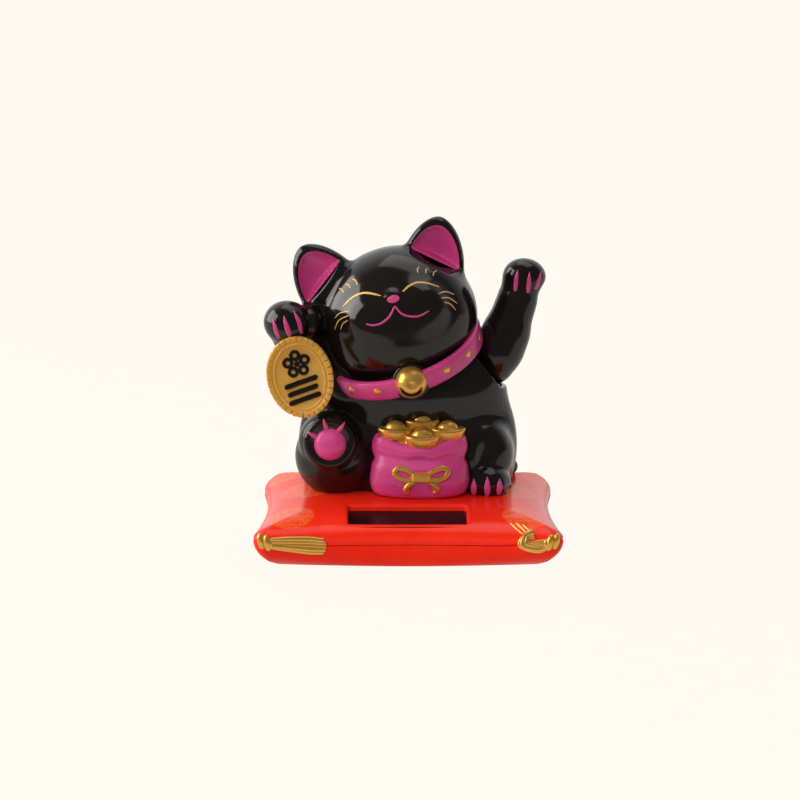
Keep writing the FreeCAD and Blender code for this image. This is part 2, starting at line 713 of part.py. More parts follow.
def sole_pad():
    """Raised round pad on the sole of the folded leg, with three toe marks above it."""
    centre, radii = sole_foot
    front = centre.y - radii[1]
    pads = [ellipsoid(Vector(-27.6, front + 0.9, 38.9), (5.9, 1.8, 5.9))]
    toes = ((-6.4, 4.8, -4.6, 1.9), (-1.8, 8.0, -1.2, 5.0), (5.2, 6.4, 3.2, 3.8))
    for x0, z0, x1, z1 in toes:
        start = Vector(-27.6 + x0, front + 1.6, 38.9 + z0)
        end = Vector(-27.6 + x1, front + 0.9, 38.9 + z1)
        pads.append(limb([(start, 0.7), (end, 0.9)]))
    return trimmed(pads[0].fuse(pads[1:]))


def raised_paw_claws():
    strokes = [((x, 1.6), (x + 1.6, -4.2)) for x in (-4.6, -0.8, 3.0)]
    return trimmed(claw_marks(raised_paw, strokes, 0.8), coin_blank(COIN_THICK, -0.15, coin_front))


def foot_claws():
    strokes = [((x, 2.4), (x, -2.4)) for x in (-4.4, 0.2, 4.4)]
    return trimmed(claw_marks(right_foot, strokes, 0.8))


def nose():
    return trimmed(ellipsoid(Vector(-5.2, -14.0, 91.0), (2.4, 1.6, 1.5), HEAD_ROLL))


# ---- waving arm and its drive ------------------------------------------------------------------

arm_outer = arm_shape(0.0)
arm_hollow = arm_outer.cut(arm_shape(-ARM_WALL))
ARM_SCREW_Z = 58.2
arm_screw = screw(Vector(PIVOT.x + 1.2, 11.4, ARM_SCREW_Z), Vector(PIVOT.x + 1.2, 17.4, ARM_SCREW_Z))
pivot_pin = rod(PIVOT - Vector(CHEEK_INNER + CHEEK_THICK, 0, 0),
                PIVOT + Vector(CHEEK_INNER + CHEEK_THICK, 0, 0), PIN_R)


def lever_blank():
    """Hub on the pin, a tongue up into the arm and a bar down to the magnet's cup."""
    hub = rod(PIVOT - Vector(HUB_HALF_X, 0, 0), PIVOT + Vector(HUB_HALF_X, 0, 0), HUB_R)
    bar = box((PIVOT.x - 1.5, 11.5, MAGNET_BOTTOM_Z + MAGNET_H), (PIVOT.x + 1.5, 16.5, PIVOT.z))
    tongue = box((PIVOT.x - 1.5, 11.8, PIVOT.z), (PIVOT.x + 3.2, 16.2, 63.0))
    cup_low = Vector(PIVOT.x, PIVOT.y, MAGNET_BOTTOM_Z + MAGNET_H)
    cup = rod(cup_low, cup_low + Vector(0, 0, 1.6), MAGNET_R + 0.8)
    return hub.fuse([bar, tongue, cup])


lever = lever_blank().cut([pivot_pin, arm_screw])


def arm_half(front):
    far = 90.0
    span = (-far, PIVOT.y) if front else (PIVOT.y, far)
    half_space = box((0, span[0], 30), (far, span[1], 130))
    boss = rod(Vector(PIVOT.x + 1.2, 9.8, ARM_SCREW_Z), Vector(PIVOT.x + 1.2, 17.4, ARM_SCREW_Z), 2.4)
    half = arm_hollow.fuse(boss.common(arm_outer)).common(half_space)
    return half.cut([lever_blank(), arm_screw])


def counterweight():
    half_x = CHEEK_INNER - 0.6
    block = box((PIVOT.x - half_x, PIVOT.y - COUNTERWEIGHT_Y / 2, COUNTERWEIGHT_Z[0]),
                (PIVOT.x + half_x, PIVOT.y + COUNTERWEIGHT_Y / 2, COUNTERWEIGHT_Z[1]))
    block.translate(Vector(0, COUNTERWEIGHT_BACK, 0))
    return block.cut(lever_blank())


def drive_magnet():
    low = Vector(PIVOT.x, PIVOT.y, MAGNET_BOTTOM_Z)
    return rod(low, low + Vector(0, 0, MAGNET_H), MAGNET_R)


def arm_claws():
    strokes = [((x + 0.6, 2.2), (x * 0.8 - 0.4, -2.8)) for x in (-3.8, 0.2, 4.0)]
    return claw_marks((PAW_CENTRE, PAW_RADII), strokes, 0.8).cut(arm_outer)


def pivot_bracket():
    """Foot plate on the deck and two cheeks that carry the pin."""
    outer = CHEEK_INNER + CHEEK_THICK
    plate = box((PIVOT.x - outer, PIVOT.y - 10.6, 16.0), (PIVOT.x + outer, PIVOT.y + 10.6, 20.4))
    cheeks = []
    for sx in (-1, 1):
        near = PIVOT.x + sx * CHEEK_INNER
        x_low = min(near, near + sx * CHEEK_THICK)
        upright = box((x_low, PIVOT.y - CHEEK_HALF_Y, 18.0),
                      (x_low + CHEEK_THICK, PIVOT.y + CHEEK_HALF_Y, PIVOT.z - 6))
        top = rod(Vector(x_low, PIVOT.y, PIVOT.z), Vector(x_low + CHEEK_THICK, PIVOT.y, PIVOT.z),
                  CHEEK_TOP_R)
        shoulder = box((x_low, PIVOT.y - CHEEK_TOP_R, PIVOT.z - 7),
                       (x_low + CHEEK_THICK, PIVOT.y + CHEEK_TOP_R, PIVOT.z))
        cheeks += [upright, top, shoulder]
    bore = rod(PIVOT - Vector(10, 0, 0), PIVOT + Vector(10, 0, 0), PIN_R + PIN_CLEARANCE)
    room = loft(inset_sections(WALL + BRACKET_GAP, BODY_BOTTOM_Z - 1))
    return plate.fuse(cheeks).cut(bore).common(room).cut([top_outer] + bracket_screws)


# ---- write every sub-part ----------------------------------------------------------------------

os.makedirs("parts", exist_ok=True)

save("base_top_shell", base_top_shell())
save("base_bottom_shell", base_bottom_shell())
save("base_screws", Part.makeCompound(base_screws))
save("rubber_feet", rubber_feet())
save("solar_panel", solar_panel())
save("solar_cell", solar_cell())
save("circuit_board", circuit_board())
save("driver_chip", driver_chip())
save("storage_capacitor", storage_capacitor())
save("board_screws", Part.makeCompound(board_screws))
save("coil_bobbin", coil_bobbin())
save("drive_coil", drive_coil())
save("solar_leads", solar_leads())
save("coil_leads", coil_leads())
for side_name, sx in (("left", -1), ("right", 1)):
    save("tassel_front_" + side_name, tassel(sx, -1))
    save("tassel_rear_" + side_name, tassel(sx, 1))

save("cat_front_shell", cat_half(True))
save("cat_rear_shell", cat_half(False))
save("cat_screws", Part.makeCompound(cat_screws))
save("ear_lining_left", lining_left)
save("ear_lining_right", lining_right)
save("nose", nose())
save("sole_pad", sole_pad())
save("raised_paw_claws", raised_paw_claws())
save("foot_claws", foot_claws())
save("collar", collar)
save("collar_bell", collar_bell())
save("coin", coin())
save("coin_emblem", coin_emblem())
save("money_bag", money_bag())
save("gold_ingots", gold_ingots())
save("bag_bow", bag_bow())

save("pivot_bracket", pivot_bracket())
save("bracket_screws", Part.makeCompound(bracket_screws))
save("arm_front_half", arm_half(True))
save("arm_rear_half", arm_half(False))
save("arm_claws", arm_claws())
save("arm_screw", arm_screw)
save("pendulum_lever", lever)
save("pivot_pin", pivot_pin)
save("drive_magnet", drive_magnet())
save("counterweight", counterweight())
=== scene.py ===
import json
import math

import bpy
import numpy as np
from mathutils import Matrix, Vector


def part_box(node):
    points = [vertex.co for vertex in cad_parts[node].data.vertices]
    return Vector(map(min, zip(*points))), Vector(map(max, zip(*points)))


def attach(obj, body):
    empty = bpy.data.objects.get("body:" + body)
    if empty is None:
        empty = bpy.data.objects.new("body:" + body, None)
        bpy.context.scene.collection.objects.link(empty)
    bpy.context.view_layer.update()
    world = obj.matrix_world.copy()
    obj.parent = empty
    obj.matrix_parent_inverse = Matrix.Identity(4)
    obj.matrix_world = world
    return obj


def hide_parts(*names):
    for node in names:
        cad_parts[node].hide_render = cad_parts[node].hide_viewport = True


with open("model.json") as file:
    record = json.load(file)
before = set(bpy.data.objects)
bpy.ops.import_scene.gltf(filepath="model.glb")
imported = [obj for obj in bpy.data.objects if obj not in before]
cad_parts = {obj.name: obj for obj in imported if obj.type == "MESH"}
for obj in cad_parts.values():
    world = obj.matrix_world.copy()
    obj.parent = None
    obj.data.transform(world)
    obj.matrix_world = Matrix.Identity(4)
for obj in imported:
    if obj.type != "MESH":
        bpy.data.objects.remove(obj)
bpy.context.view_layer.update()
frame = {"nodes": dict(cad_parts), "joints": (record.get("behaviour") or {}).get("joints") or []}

# A glossy beckoning cat on a cushion. Every form below is worked out in millimetres in the frame's own
# axes (face along -Y, +X to the viewer's right, +Z up) and written to its mesh in metres.
MM = 0.001


# ---- places taken from the frame ----

def node_box(name):
    low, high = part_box(name)
    return np.array(low) / MM, np.array(high) / MM


def node_centre(name):
    low, high = node_box(name)
    return (low + high) / 2


BASE_LOW = node_box("base_bottom_shell")[0]
BASE_HIGH = node_box("base_top_shell")[1]
BASE_HALF = np.array([BASE_HIGH[0], BASE_HIGH[1]])
PIVOT = np.array(frame["joints"][0]["pos_m"]) / MM
SWING_LIMITS = frame["joints"][0]["range_deg"]
COIN = node_centre("coin")
BELL = node_centre("collar_bell") + np.array([0.6, -0.4, 0.0])
PANEL_LOW, PANEL_HIGH = node_box("solar_panel")


# ---- distance fields ----

def cos_sin(degrees):
    return math.cos(math.radians(degrees)), math.sin(math.radians(degrees))


def turned(points, roll=0.0, pitch=0.0):
    """Points in the axes of a form that was pitched about X and then rolled so its right side lifts."""
    c, s = cos_sin(roll)
    x = points[:, 0] * c + points[:, 2] * s
    z = -points[:, 0] * s + points[:, 2] * c
    c, s = cos_sin(pitch)
    y = points[:, 1] * c + z * s
    z = -points[:, 1] * s + z * c
    return np.stack([x, y, z], 1)


def ellipsoid(points, centre, radii, roll=0.0, pitch=0.0):
    local = turned(points - np.array(centre), roll, pitch)
    radii = np.array(radii)
    k0 = np.linalg.norm(local / radii, axis=1)
    k1 = np.linalg.norm(local / radii ** 2, axis=1)
    return k0 * (k0 - 1) / np.maximum(k1, 1e-6)


def capsule(points, start, end, r0, r1):
    """Tapering rounded rod."""
    start, end = np.array(start), np.array(end)
    axis = end - start
    t = np.clip((points - start) @ axis / (axis @ axis), 0, 1)
    return np.linalg.norm(points - start - t[:, None] * axis, axis=1) - (r0 + (r1 - r0) * t)


def blend_min(a, b, k):
    """Union with a fillet of about k."""
    h = np.maximum(k - np.abs(a - b), 0) / k
    return np.minimum(a, b) - h * h * k / 4


def blend_max(a, b, k):
    """Intersection with its edge rounded over about k."""
    return -blend_min(-a, -b, k)


def smooth_step(value):
    t = np.clip(value, 0, 1)
    return t * t * (3 - 2 * t)


# ---- fields to meshes ----

STEP = 0.62         # cell of the figure's own grid
COARSE = 4          # fine cells along a coarse one


def sample_field(field, low, shape, step):
    """Values on a grid; far from the surface only the coarse value is used."""
    coarse_shape = [n // COARSE + 2 for n in shape]
    axes = [low[k] + np.arange(coarse_shape[k]) * step * COARSE for k in range(3)]
    grid = np.stack(np.meshgrid(*axes, indexing="ij"), -1).reshape(-1, 3)
    coarse = field(grid).reshape(coarse_shape)
    picks = [np.minimum((np.arange(n) + COARSE // 2) // COARSE, coarse_shape[k] - 1)
             for k, n in enumerate(shape)]
    values = coarse[np.ix_(*picks)]
    near = np.argwhere(np.abs(values) < step * COARSE * 1.6)
    chunk = 300000
    for first in range(0, len(near), chunk):
        part = near[first:first + chunk]
        values[part[:, 0], part[:, 1], part[:, 2]] = field(low + part * step)
    return values


def net(values, low, step):
    """Points and quads of the zero surface: one point per crossed cell, joined round each crossed edge."""
    cell_shape = np.array(values.shape) - 1
    corners, crossings, flips = [], [], []
    for axis in range(3):
        lower = [slice(None)] * 3
        upper = [slice(None)] * 3
        lower[axis] = slice(0, -1)
        upper[axis] = slice(1, None)
        a, b = values[tuple(lower)], values[tuple(upper)]
        index = np.argwhere((a < 0) != (b < 0))
        va, vb = a[tuple(index.T)], b[tuple(index.T)]
        point = index.astype(float)
        point[:, axis] += va / (va - vb)
        one, two = (axis + 1) % 3, (axis + 2) % 3
        quad = []
        for d_one, d_two in ((0, 0), (1, 0), (1, 1), (0, 1)):
            cell = index.copy()
            cell[:, one] -= d_one
            cell[:, two] -= d_two
            quad.append(np.ravel_multi_index(np.clip(cell, 0, cell_shape - 1).T, cell_shape))
        corners.append(np.stack(quad, 1))
        crossings.append(point)
        flips.append(va >= 0)
    corners = np.concatenate(corners)
    crossings = np.repeat(np.concatenate(crossings), 4, axis=0)
    _, inverse = np.unique(corners.reshape(-1), return_inverse=True)
    count = np.bincount(inverse)
    points = np.stack([np.bincount(inverse, crossings[:, k]) / count for k in range(3)], 1)
    quads = inverse.reshape(-1, 4)
    flip = np.concatenate(flips)
    quads[flip] = quads[flip][:, ::-1]
    return low + points * step, quads


def gradient(field, points, reach=0.06):
    out = np.empty_like(points)
    for k in range(3):
        shift = np.zeros(3)
        shift[k] = reach
        out[:, k] = (field(points + shift) - field(points - shift)) / (2 * reach)
    return out


def settle(field, points, step, rounds=2):
    """Move points onto the zero surface."""
    for _ in range(rounds):
        slope = gradient(field, points)
        square = np.maximum((slope ** 2).sum(1), 0.05)
        move = slope * (field(points) / square)[:, None]
        length = np.linalg.norm(move, axis=1)
        move *= np.minimum(1, 0.4 * step / np.maximum(length, 1e-9))[:, None]
        points = points - move
    return points


def make_object(name, points, faces, smooth_angle=40.0):
    mesh = bpy.data.meshes.new(name)
    points = np.asarray(points, float) * MM
    if isinstance(faces, np.ndarray):
        mesh.vertices.add(len(points))
        mesh.vertices.foreach_set("co", points.ravel())
        mesh.loops.add(faces.size)
        mesh.loops.foreach_set("vertex_index", faces.ravel().astype(np.int32))
        mesh.polygons.add(len(faces))
        mesh.polygons.foreach_set("loop_start", np.arange(0, faces.size, faces.shape[1], dtype=np.int32))
        mesh.update(calc_edges=True)
        mesh.validate()
    else:
        mesh.from_pydata([tuple(p) for p in points], [], faces)
    mesh.shade_smooth()
    if smooth_angle:
        mesh.set_sharp_from_angle(angle=math.radians(smooth_angle))
    obj = bpy.data.objects.new(name, mesh)
    bpy.context.scene.collection.objects.link(obj)
    return obj


def field_object(name, field, low, high, step, smooth_angle=40.0):
    """Object whose surface is the field's zero surface inside a box."""
    low = np.array(low, float)
    shape = [int(n) for n in np.ceil((np.array(high, float) - low) / step) + 1]
    points, quads = net(sample_field(field, low, shape, step), low, step)
    return make_object(name, settle(field, points, step), quads, smooth_angle)


def spline(points, count):
    """Evenly numbered points along a smooth curve through the given ones (Catmull-Rom)."""
    points = np.array(points, float)
    if len(points) == 2:
        t = np.linspace(0, 1, count)[:, None]
        return points[0] * (1 - t) + points[1] * t
    ends = np.vstack([2 * points[0] - points[1], points, 2 * points[-1] - points[-2]])
    u = np.linspace(0, len(points) - 1 - 1e-9, count)
    i = u.astype(int)
    t = (u - i)[:, None]
    p0, p1, p2, p3 = ends[i], ends[i + 1], ends[i + 2], ends[i + 3]
    return 0.5 * (2 * p1 + (p2 - p0) * t + (2 * p0 - 5 * p1 + 4 * p2 - p3) * t ** 2
                  + (3 * p1 - p0 - 3 * p2 + p3) * t ** 3)


def skin(count, sides, closed):
    """Quads between neighbouring rings of a tube's vertices."""
    faces = []
    for i in range(count if closed else count - 1):
        j = (i + 1) % count
        faces += [(i * sides + k, i * sides + (k + 1) % sides, j * sides + (k + 1) % sides, j * sides + k)
                  for k in range(sides)]
    return faces


def tube(path, width, height, up, sides=10, closed=False):
    """Vertices and quads of a flattened tube; width lies across up, height lies along up."""
    path = np.asarray(path, float)
    count = len(path)
    width = np.broadcast_to(np.asarray(width, float), count)
    height = np.broadcast_to(np.asarray(height, float), count)
    if closed:
        ahead = np.roll(path, -1, 0) - np.roll(path, 1, 0)
    else:
        ahead = np.gradient(path, axis=0)
    ahead /= np.linalg.norm(ahead, axis=1)[:, None]
    up = np.broadcast_to(np.asarray(up, float), path.shape)
    across = np.cross(ahead, up)
    across /= np.linalg.norm(across, axis=1)[:, None]
    rise = np.cross(across, ahead)
    angle = np.linspace(0, 2 * math.pi, sides, endpoint=False)
    ring = (across[:, None] * (np.cos(angle)[None, :, None] * width[:, None, None])
            + rise[:, None] * (np.sin(angle)[None, :, None] * height[:, None, None]))
    points = (path[:, None] + ring).reshape(-1, 3)
    faces = skin(count, sides, closed)
    if not closed:
        faces.append(tuple(range(sides))[::-1])
        faces.append(tuple((count - 1) * sides + s for s in range(sides)))
    return points, faces


def join_pieces(name, pieces, smooth_angle=50.0):
    """One object from several (vertices, faces) pairs."""
    all_points, all_faces, offset = [], [], 0
    for points, faces in pieces:
        all_points.append(np.asarray(points))
        all_faces += [tuple(int(i) + offset for i in face) for face in faces]
        offset += len(points)
    return make_object(name, np.concatenate(all_points), all_faces, smooth_angle)


# ---- materials ----

def new_material(name):
    material = bpy.data.materials.new(name)
    material.use_nodes = True
    tree = material.node_tree
    return material, tree, tree.nodes["Principled BSDF"]


def node(tree, kind, **values):
    made = tree.nodes.new(kind)
    for key, value in values.items():
        if key in made.inputs:
            made.inputs[key].default_value = value
        else:
            setattr(made, key, value)
    return made


def object_noise(tree, scale, detail=4.0, roughness=0.6):
    coords = tree.nodes.new("ShaderNodeTexCoord")
    noise = node(tree, "ShaderNodeTexNoise", Scale=scale, Detail=detail, Roughness=roughness)
    tree.links.new(coords.outputs["Object"], noise.inputs["Vector"])
    return noise


def ramp(tree, source, stops):
    made = tree.nodes.new("ShaderNodeValToRGB")
    while len(made.color_ramp.elements) < len(stops):
        made.color_ramp.elements.new(0.5)
    for element, (place, colour) in zip(made.color_ramp.elements, stops):
        element.position = place
        element.color = colour if len(colour) == 4 else (*colour, 1.0)
    tree.links.new(source, made.inputs["Fac"])
    return made


def grey(value):
    return (value, value, value, 1.0)


def add_bump(tree, shader, source, strength, distance_mm):
    bump = node(tree, "ShaderNodeBump", Strength=strength, Distance=distance_mm * MM)
    tree.links.new(source, bump.inputs["Height"])
    tree.links.new(bump.outputs["Normal"], shader.inputs["Normal"])
    return bump


def paint(name, colour, dark, roughness, spread, bump_mm=0.02, metallic=0.0, coat=0.0, scale=900.0,
          specular=0.5):
    """Moulded or painted surface: slight tone drift, uneven gloss and a fine skin."""
    material, tree, shader = new_material(name)
    drift = object_noise(tree, 60.0)
    tone = ramp(tree, drift.outputs["Fac"], [(0.35, dark), (0.62, colour)])
    tree.links.new(tone.outputs["Color"], shader.inputs["Base Color"])
    gloss = object_noise(tree, 220.0, 5.0)
    rough = ramp(tree, gloss.outputs["Fac"], [(0.3, grey(roughness)), (0.75, grey(roughness + spread))])
    tree.links.new(rough.outputs["Color"], shader.inputs["Roughness"])
    skin = object_noise(tree, scale, 2.0)
    add_bump(tree, shader, skin.outputs["Fac"], 0.35, bump_mm)
    shader.inputs["Metallic"].default_value = metallic
    shader.inputs["Coat Weight"].default_value = coat
    shader.inputs["Coat Roughness"].default_value = 0.05
    shader.inputs["Specular IOR Level"].default_value = specular
    return material


BLACK = paint("gloss_black", (0.010, 0.007, 0.006), (0.006, 0.005, 0.004), 0.09, 0.07, 0.012)
PINK = paint("magenta_paint", (0.66, 0.060, 0.26), (0.55, 0.045, 0.21), 0.26, 0.14, 0.03, coat=0.2)
GOLD = paint("gold_paint", (0.95, 0.56, 0.13), (0.84, 0.44, 0.08), 0.24, 0.16, 0.06, metallic=0.78,
             scale=1500.0)
COIN_GOLD = paint("coin_gold", (0.86, 0.47, 0.09), (0.72, 0.37, 0.06), 0.42, 0.16, 0.12, metallic=0.35,
                  scale=1900.0)
LINE_GOLD = paint("line_gold", (0.84, 0.52, 0.16), (0.70, 0.40, 0.10), 0.38, 0.1, 0.02, metallic=0.4)
RUBBER = paint("foot_rubber", (0.03, 0.03, 0.03), (0.02, 0.02, 0.02), 0.75, 0.15, 0.05)
STEEL = paint("screw_steel", (0.55, 0.55, 0.56), (0.42, 0.42, 0.43), 0.30, 0.12, 0.02, metallic=1.0)
MILKY = paint("inner_plastic", (0.80, 0.78, 0.72), (0.72, 0.70, 0.64), 0.45, 0.1, 0.02)
COPPER = paint("winding_copper", (0.75, 0.33, 0.14), (0.55, 0.22, 0.09), 0.30, 0.1, 0.03, metallic=1.0)
BOARD = paint("board_green", (0.03, 0.20, 0.08), (0.02, 0.14, 0.05), 0.40, 0.1, 0.02)
EPOXY = paint("epoxy_black", (0.015, 0.015, 0.015), (0.01, 0.01, 0.01), 0.22, 0.1, 0.02)
SLEEVE = paint("lead_red", (0.55, 0.03, 0.03), (0.45, 0.02, 0.02), 0.45, 0.1, 0.02)
CAN = paint("capacitor_blue", (0.04, 0.06, 0.22), (0.03, 0.04, 0.16), 0.35, 0.1, 0.02)
NICKEL = paint("magnet_nickel", (0.75, 0.73, 0.70), (0.65, 0.63, 0.60), 0.15, 0.1, 0.01, metallic=1.0)
RED_TONES = (0.96, 0.026, 0.008), (0.90, 0.018, 0.005)
RED = paint("gloss_red", *RED_TONES, 0.16, 0.08, 0.012, specular=0.1)
DECK_RED = paint("gloss_red_printed", *RED_TONES, 0.14, 0.08, 0.012, specular=0.3)
CELL = paint("solar_cell_dark", (0.030, 0.016, 0.018), (0.018, 0.010, 0.012), 0.25, 0.1, 0.01)


def panel_glass():
    material, tree, shader = new_material("panel_glass")
    shader.inputs["Base Color"].default_value = (0.010, 0.004, 0.005, 1)
    smear = object_noise(tree, 150.0, 4.0)
    rough = ramp(tree, smear.outputs["Fac"], [(0.3, grey(0.22)), (0.8, grey(0.38))])
    tree.links.new(rough.outputs["Color"], shader.inputs["Roughness"])
    shader.inputs["Specular IOR Level"].default_value = 0.08
    return material


GLASS = panel_glass()

DISC_R = 8.8                    # printed gold medallions on the cushion
DISC_PLACES = [(side * x, y) for side in (-1, 1) for x, y in ((41.2, -25.5), (37.0, 3.0), (42.5, 28.5))]
DOT_SCALE = 1250.0


def print_discs(material):
    """Thin gold medallions of fine dots printed over the red."""
    tree = material.node_tree
    shader = tree.nodes["Principled BSDF"]
    coords = tree.nodes.new("ShaderNodeTexCoord")
    flat = node(tree, "ShaderNodeVectorMath", operation="MULTIPLY")
    flat.inputs[1].default_value = (1, 1, 0)
    tree.links.new(coords.outputs["Object"], flat.inputs[0])
    mask = None
    for x, y in DISC_PLACES:
        away = node(tree, "ShaderNodeVectorMath", operation="DISTANCE")
        away.inputs[1].default_value = (x * MM, y * MM, 0)
        tree.links.new(flat.outputs["Vector"], away.inputs[0])
        inside = tree.nodes.new("ShaderNodeMapRange")
        inside.inputs["From Min"].default_value = (DISC_R + 0.15) * MM
        inside.inputs["From Max"].default_value = (DISC_R - 0.15) * MM
        tree.links.new(away.outputs["Value"], inside.inputs["Value"])
        if mask is None:
            mask = inside.outputs["Result"]
            continue
        both = node(tree, "ShaderNodeMath", operation="MAXIMUM")
        tree.links.new(mask, both.inputs[0])
        tree.links.new(inside.outputs["Result"], both.inputs[1])
        mask = both.outputs["Value"]
    dots = node(tree, "ShaderNodeTexVoronoi", Scale=DOT_SCALE, Randomness=0.55)
    tree.links.new(coords.outputs["Object"], dots.inputs["Vector"])
    share = ramp(tree, dots.outputs["Distance"], [(0.26, grey(0.40)), (0.46, grey(0.10))])
    amount = node(tree, "ShaderNodeMath", operation="MULTIPLY")
    tree.links.new(mask, amount.inputs[0])
    tree.links.new(share.outputs["Color"], amount.inputs[1])
    tone = shader.inputs["Base Color"].links[0].from_socket
    mixed = node(tree, "ShaderNodeMix", data_type="RGBA")
    colour_inputs = [socket for socket in mixed.inputs if socket.type == "RGBA"]
    colour_inputs[1].default_value = (0.92, 0.42, 0.08, 1)
    tree.links.new(amount.outputs["Value"], mixed.inputs["Factor"])
    tree.links.new(tone, colour_inputs[0])
    colour_outputs = [socket for socket in mixed.outputs if socket.type == "RGBA"]
    tree.links.new(colour_outputs[0], shader.inputs["Base Color"])


print_discs(DECK_RED)


def dress(obj, material):
    obj.data.materials.clear()
    obj.data.materials.append(material)


def piece(obj, body, material, replaces=()):
    """Give a finished piece its material and its body, and hide the frame's parts that it replaces."""
    dress(obj, material)
    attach(obj, body)
    if replaces:
        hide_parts(*replaces)
    return obj


# ---- cushion base ----

WAIST = 2.8
CORNER_R = 5.5
SEAM_MIDDLE_Z = 9.2
SEAM_TIP_Z = 10.9
UNDERSIDE_Z = BASE_LOW[2]
TOP_EDGE = 12.0
BOTTOM_EDGE = 7.0
EDGE_POWER = 2.15               # fuller sections than a circle's, above and below the seam
UNDER_POWER = 2.3
CORNER_SPREAD = 24.0            # the underside's edge reaches this much further in at the corners
DECK_Z = 18.4
DECK_SLOPE = 0.055


def inside_outline(x, y):
    """How far a point is inside the cushion's outline, whose sides pull in at their middles."""
    hx, hy = BASE_HALF
    ax, ay = np.abs(x), np.abs(y)
    along_x = np.clip(ax / (hx - CORNER_R), 0, 1)
    along_y = np.clip(ay / (hy - CORNER_R), 0, 1)
    a = hx - WAIST * (1 - along_y ** 2) - ax
    b = hy - WAIST * (1 - along_x ** 2) - ay
    corner = CORNER_R - np.hypot(np.maximum(CORNER_R - a, 0), np.maximum(CORNER_R - b, 0))
    return np.where((a < CORNER_R) & (b < CORNER_R), corner, np.minimum(a, b))


def seam_height(x):
    return SEAM_MIDDLE_Z + (SEAM_TIP_Z - SEAM_MIDDLE_Z) * smooth_step((np.abs(x) - 30) / 22)


def corner_share(x, y):
    """1 at the cushion's tips and 0 along its middle lines."""
    hx, hy = BASE_HALF
    return np.clip((x / hx) ** 2 * (y / hy) ** 2, 0, 1)


def cushion_top(points):
    x, y, z = points.T
    inside = inside_outline(x, y)
    seam = seam_height(x)
    crown = 1.3 * smooth_step(inside / 22)
    rise = DECK_Z - 1.3 + crown + DECK_SLOPE * (y + 16) - seam
    edge = TOP_EDGE + 5.0 * corner_share(x, y)
    a = np.maximum(edge - inside, 0) / edge
    b = np.abs(z - seam) / rise
    return ((a ** EDGE_POWER + b ** EDGE_POWER) ** (1 / EDGE_POWER) - 1) * 7.5


def cushion_bottom(points):
    x, y, z = points.T
    inside = inside_outline(x, y)
    seam = seam_height(x)
    edge = BOTTOM_EDGE + CORNER_SPREAD * corner_share(x, y)
    a = np.maximum(edge - inside, 0) / edge
    b = np.maximum(seam - z, 0) / (seam - UNDERSIDE_Z + 0.6)
    shell = ((a ** UNDER_POWER + b ** UNDER_POWER) ** (1 / UNDER_POWER) - 1) * 9
    return blend_max(shell, UNDERSIDE_Z - z, 0.8)


def cushion_form(points):
    """Both halves of the cushion as one solid."""
    over_seam = points[:, 2] - seam_height(points[:, 0])
    return np.minimum(np.maximum(cushion_top(points), -over_seam),
                      np.maximum(cushion_bottom(points), over_seam))


PANEL_CENTRE = (PANEL_LOW + PANEL_HIGH) / 2
PANEL_TILT = 5.4
WINDOW_HALF = np.array([20.3, 7.4])
BASE_WALL = 1.8
BASE_SEAM_GAP = 0.06            # each half stands this far off the seam


def window_hole(points):
    """Opening over the panel, square to the tilted glass, with softened edges."""
    local = turned(points - PANEL_CENTRE, pitch=PANEL_TILT)
    flare = np.clip(local[:, 2] - 0.6, 0, 4) * 0.14
    dx = np.abs(local[:, 0]) - WINDOW_HALF[0] - flare
    dy = np.abs(local[:, 1]) - WINDOW_HALF[1] - flare
    return blend_max(blend_max(dx, dy, 0.8), -4 - local[:, 2], 0.3)


def build_base():
    def top(points):
        solid = cushion_top(points)
        hollow = cushion_top(points + np.array([0, 0, BASE_WALL]))
        shell = np.maximum(solid, -(hollow + 1.2))
        shell = blend_max(shell, -window_hole(points), 0.7)
        return blend_max(shell, seam_height(points[:, 0]) + BASE_SEAM_GAP - points[:, 2], 0.5)

    def bottom(points):
        solid = cushion_bottom(points)
        shell = np.maximum(solid, -(solid + BASE_WALL))
        return blend_max(shell, points[:, 2] - seam_height(points[:, 0]) + BASE_SEAM_GAP, 0.5)

    edge = 1.5
    low = [-BASE_HALF[0] - edge, -BASE_HALF[1] - edge]
    high = [BASE_HALF[0] + edge, BASE_HALF[1] + edge]
    lid = field_object("base_top", top, [*low, 7.5], [*high, 23.0], 0.5)
    piece(lid, "figure", DECK_RED, ["base_top_shell"])
    tray = field_object("base_bottom", bottom, [*low, -0.8], [*high, 12.0], 0.6)
    piece(tray, "figure", RED, ["base_bottom_shell"])


# ---- cat ----

HEAD = dict(centre=(-3.2, 10.0, 80.0), radii=(27.9, 23.6, 25.9), roll=13.5)
EAR_SPLAY = 22.0
EARS = [dict(root=(-27.4, 9.0, 91.2), side=-1, length=17.9),
        dict(root=(8.4, 9.0, 98.6), side=1, length=18.0)]
EAR_WIDTH = 11.3                # half width at the root
EAR_POWER = 1.75                # how full the ear is between its root and its tip
EAR_FLAT = 1.75                 # the ears are this much thinner than they are wide
EAR_RIM = 1.0
POCKET_SHIFT = 4.4
POCKET_FLOOR = 2.6              # height of the pocket's lower wall above the root
POCKET_LEAN = 17.0              # the lower wall follows the skull, so it leans outwards
RAISED_ARM = [((-25.5, 11.0, 54.0), 9.5), ((-36.5, 4.5, 68.0), 8.2), ((-41.2, 1.0, 77.0), 7.3)]
RAISED_PAW = dict(centre=(-42.2, -1.6, 80.4), radii=(8.3, 8.6, 7.7), roll=-10)
PAW_BACK = dict(centre=(-35.4, 3.2, 79.6), radii=(6.0, 8.0, 6.7))
SOLE_FOOT = dict(centre=(-27.5, -0.6, 37.9), radii=(11.2, 9.6, 10.9))
RIGHT_FOOT = dict(centre=(27.8, 2.0, 22.9), radii=(8.8, 8.8, 6.5))
SLOT_TOP = (24.6, 69.8)         # where the opening for the waving arm starts, across and up
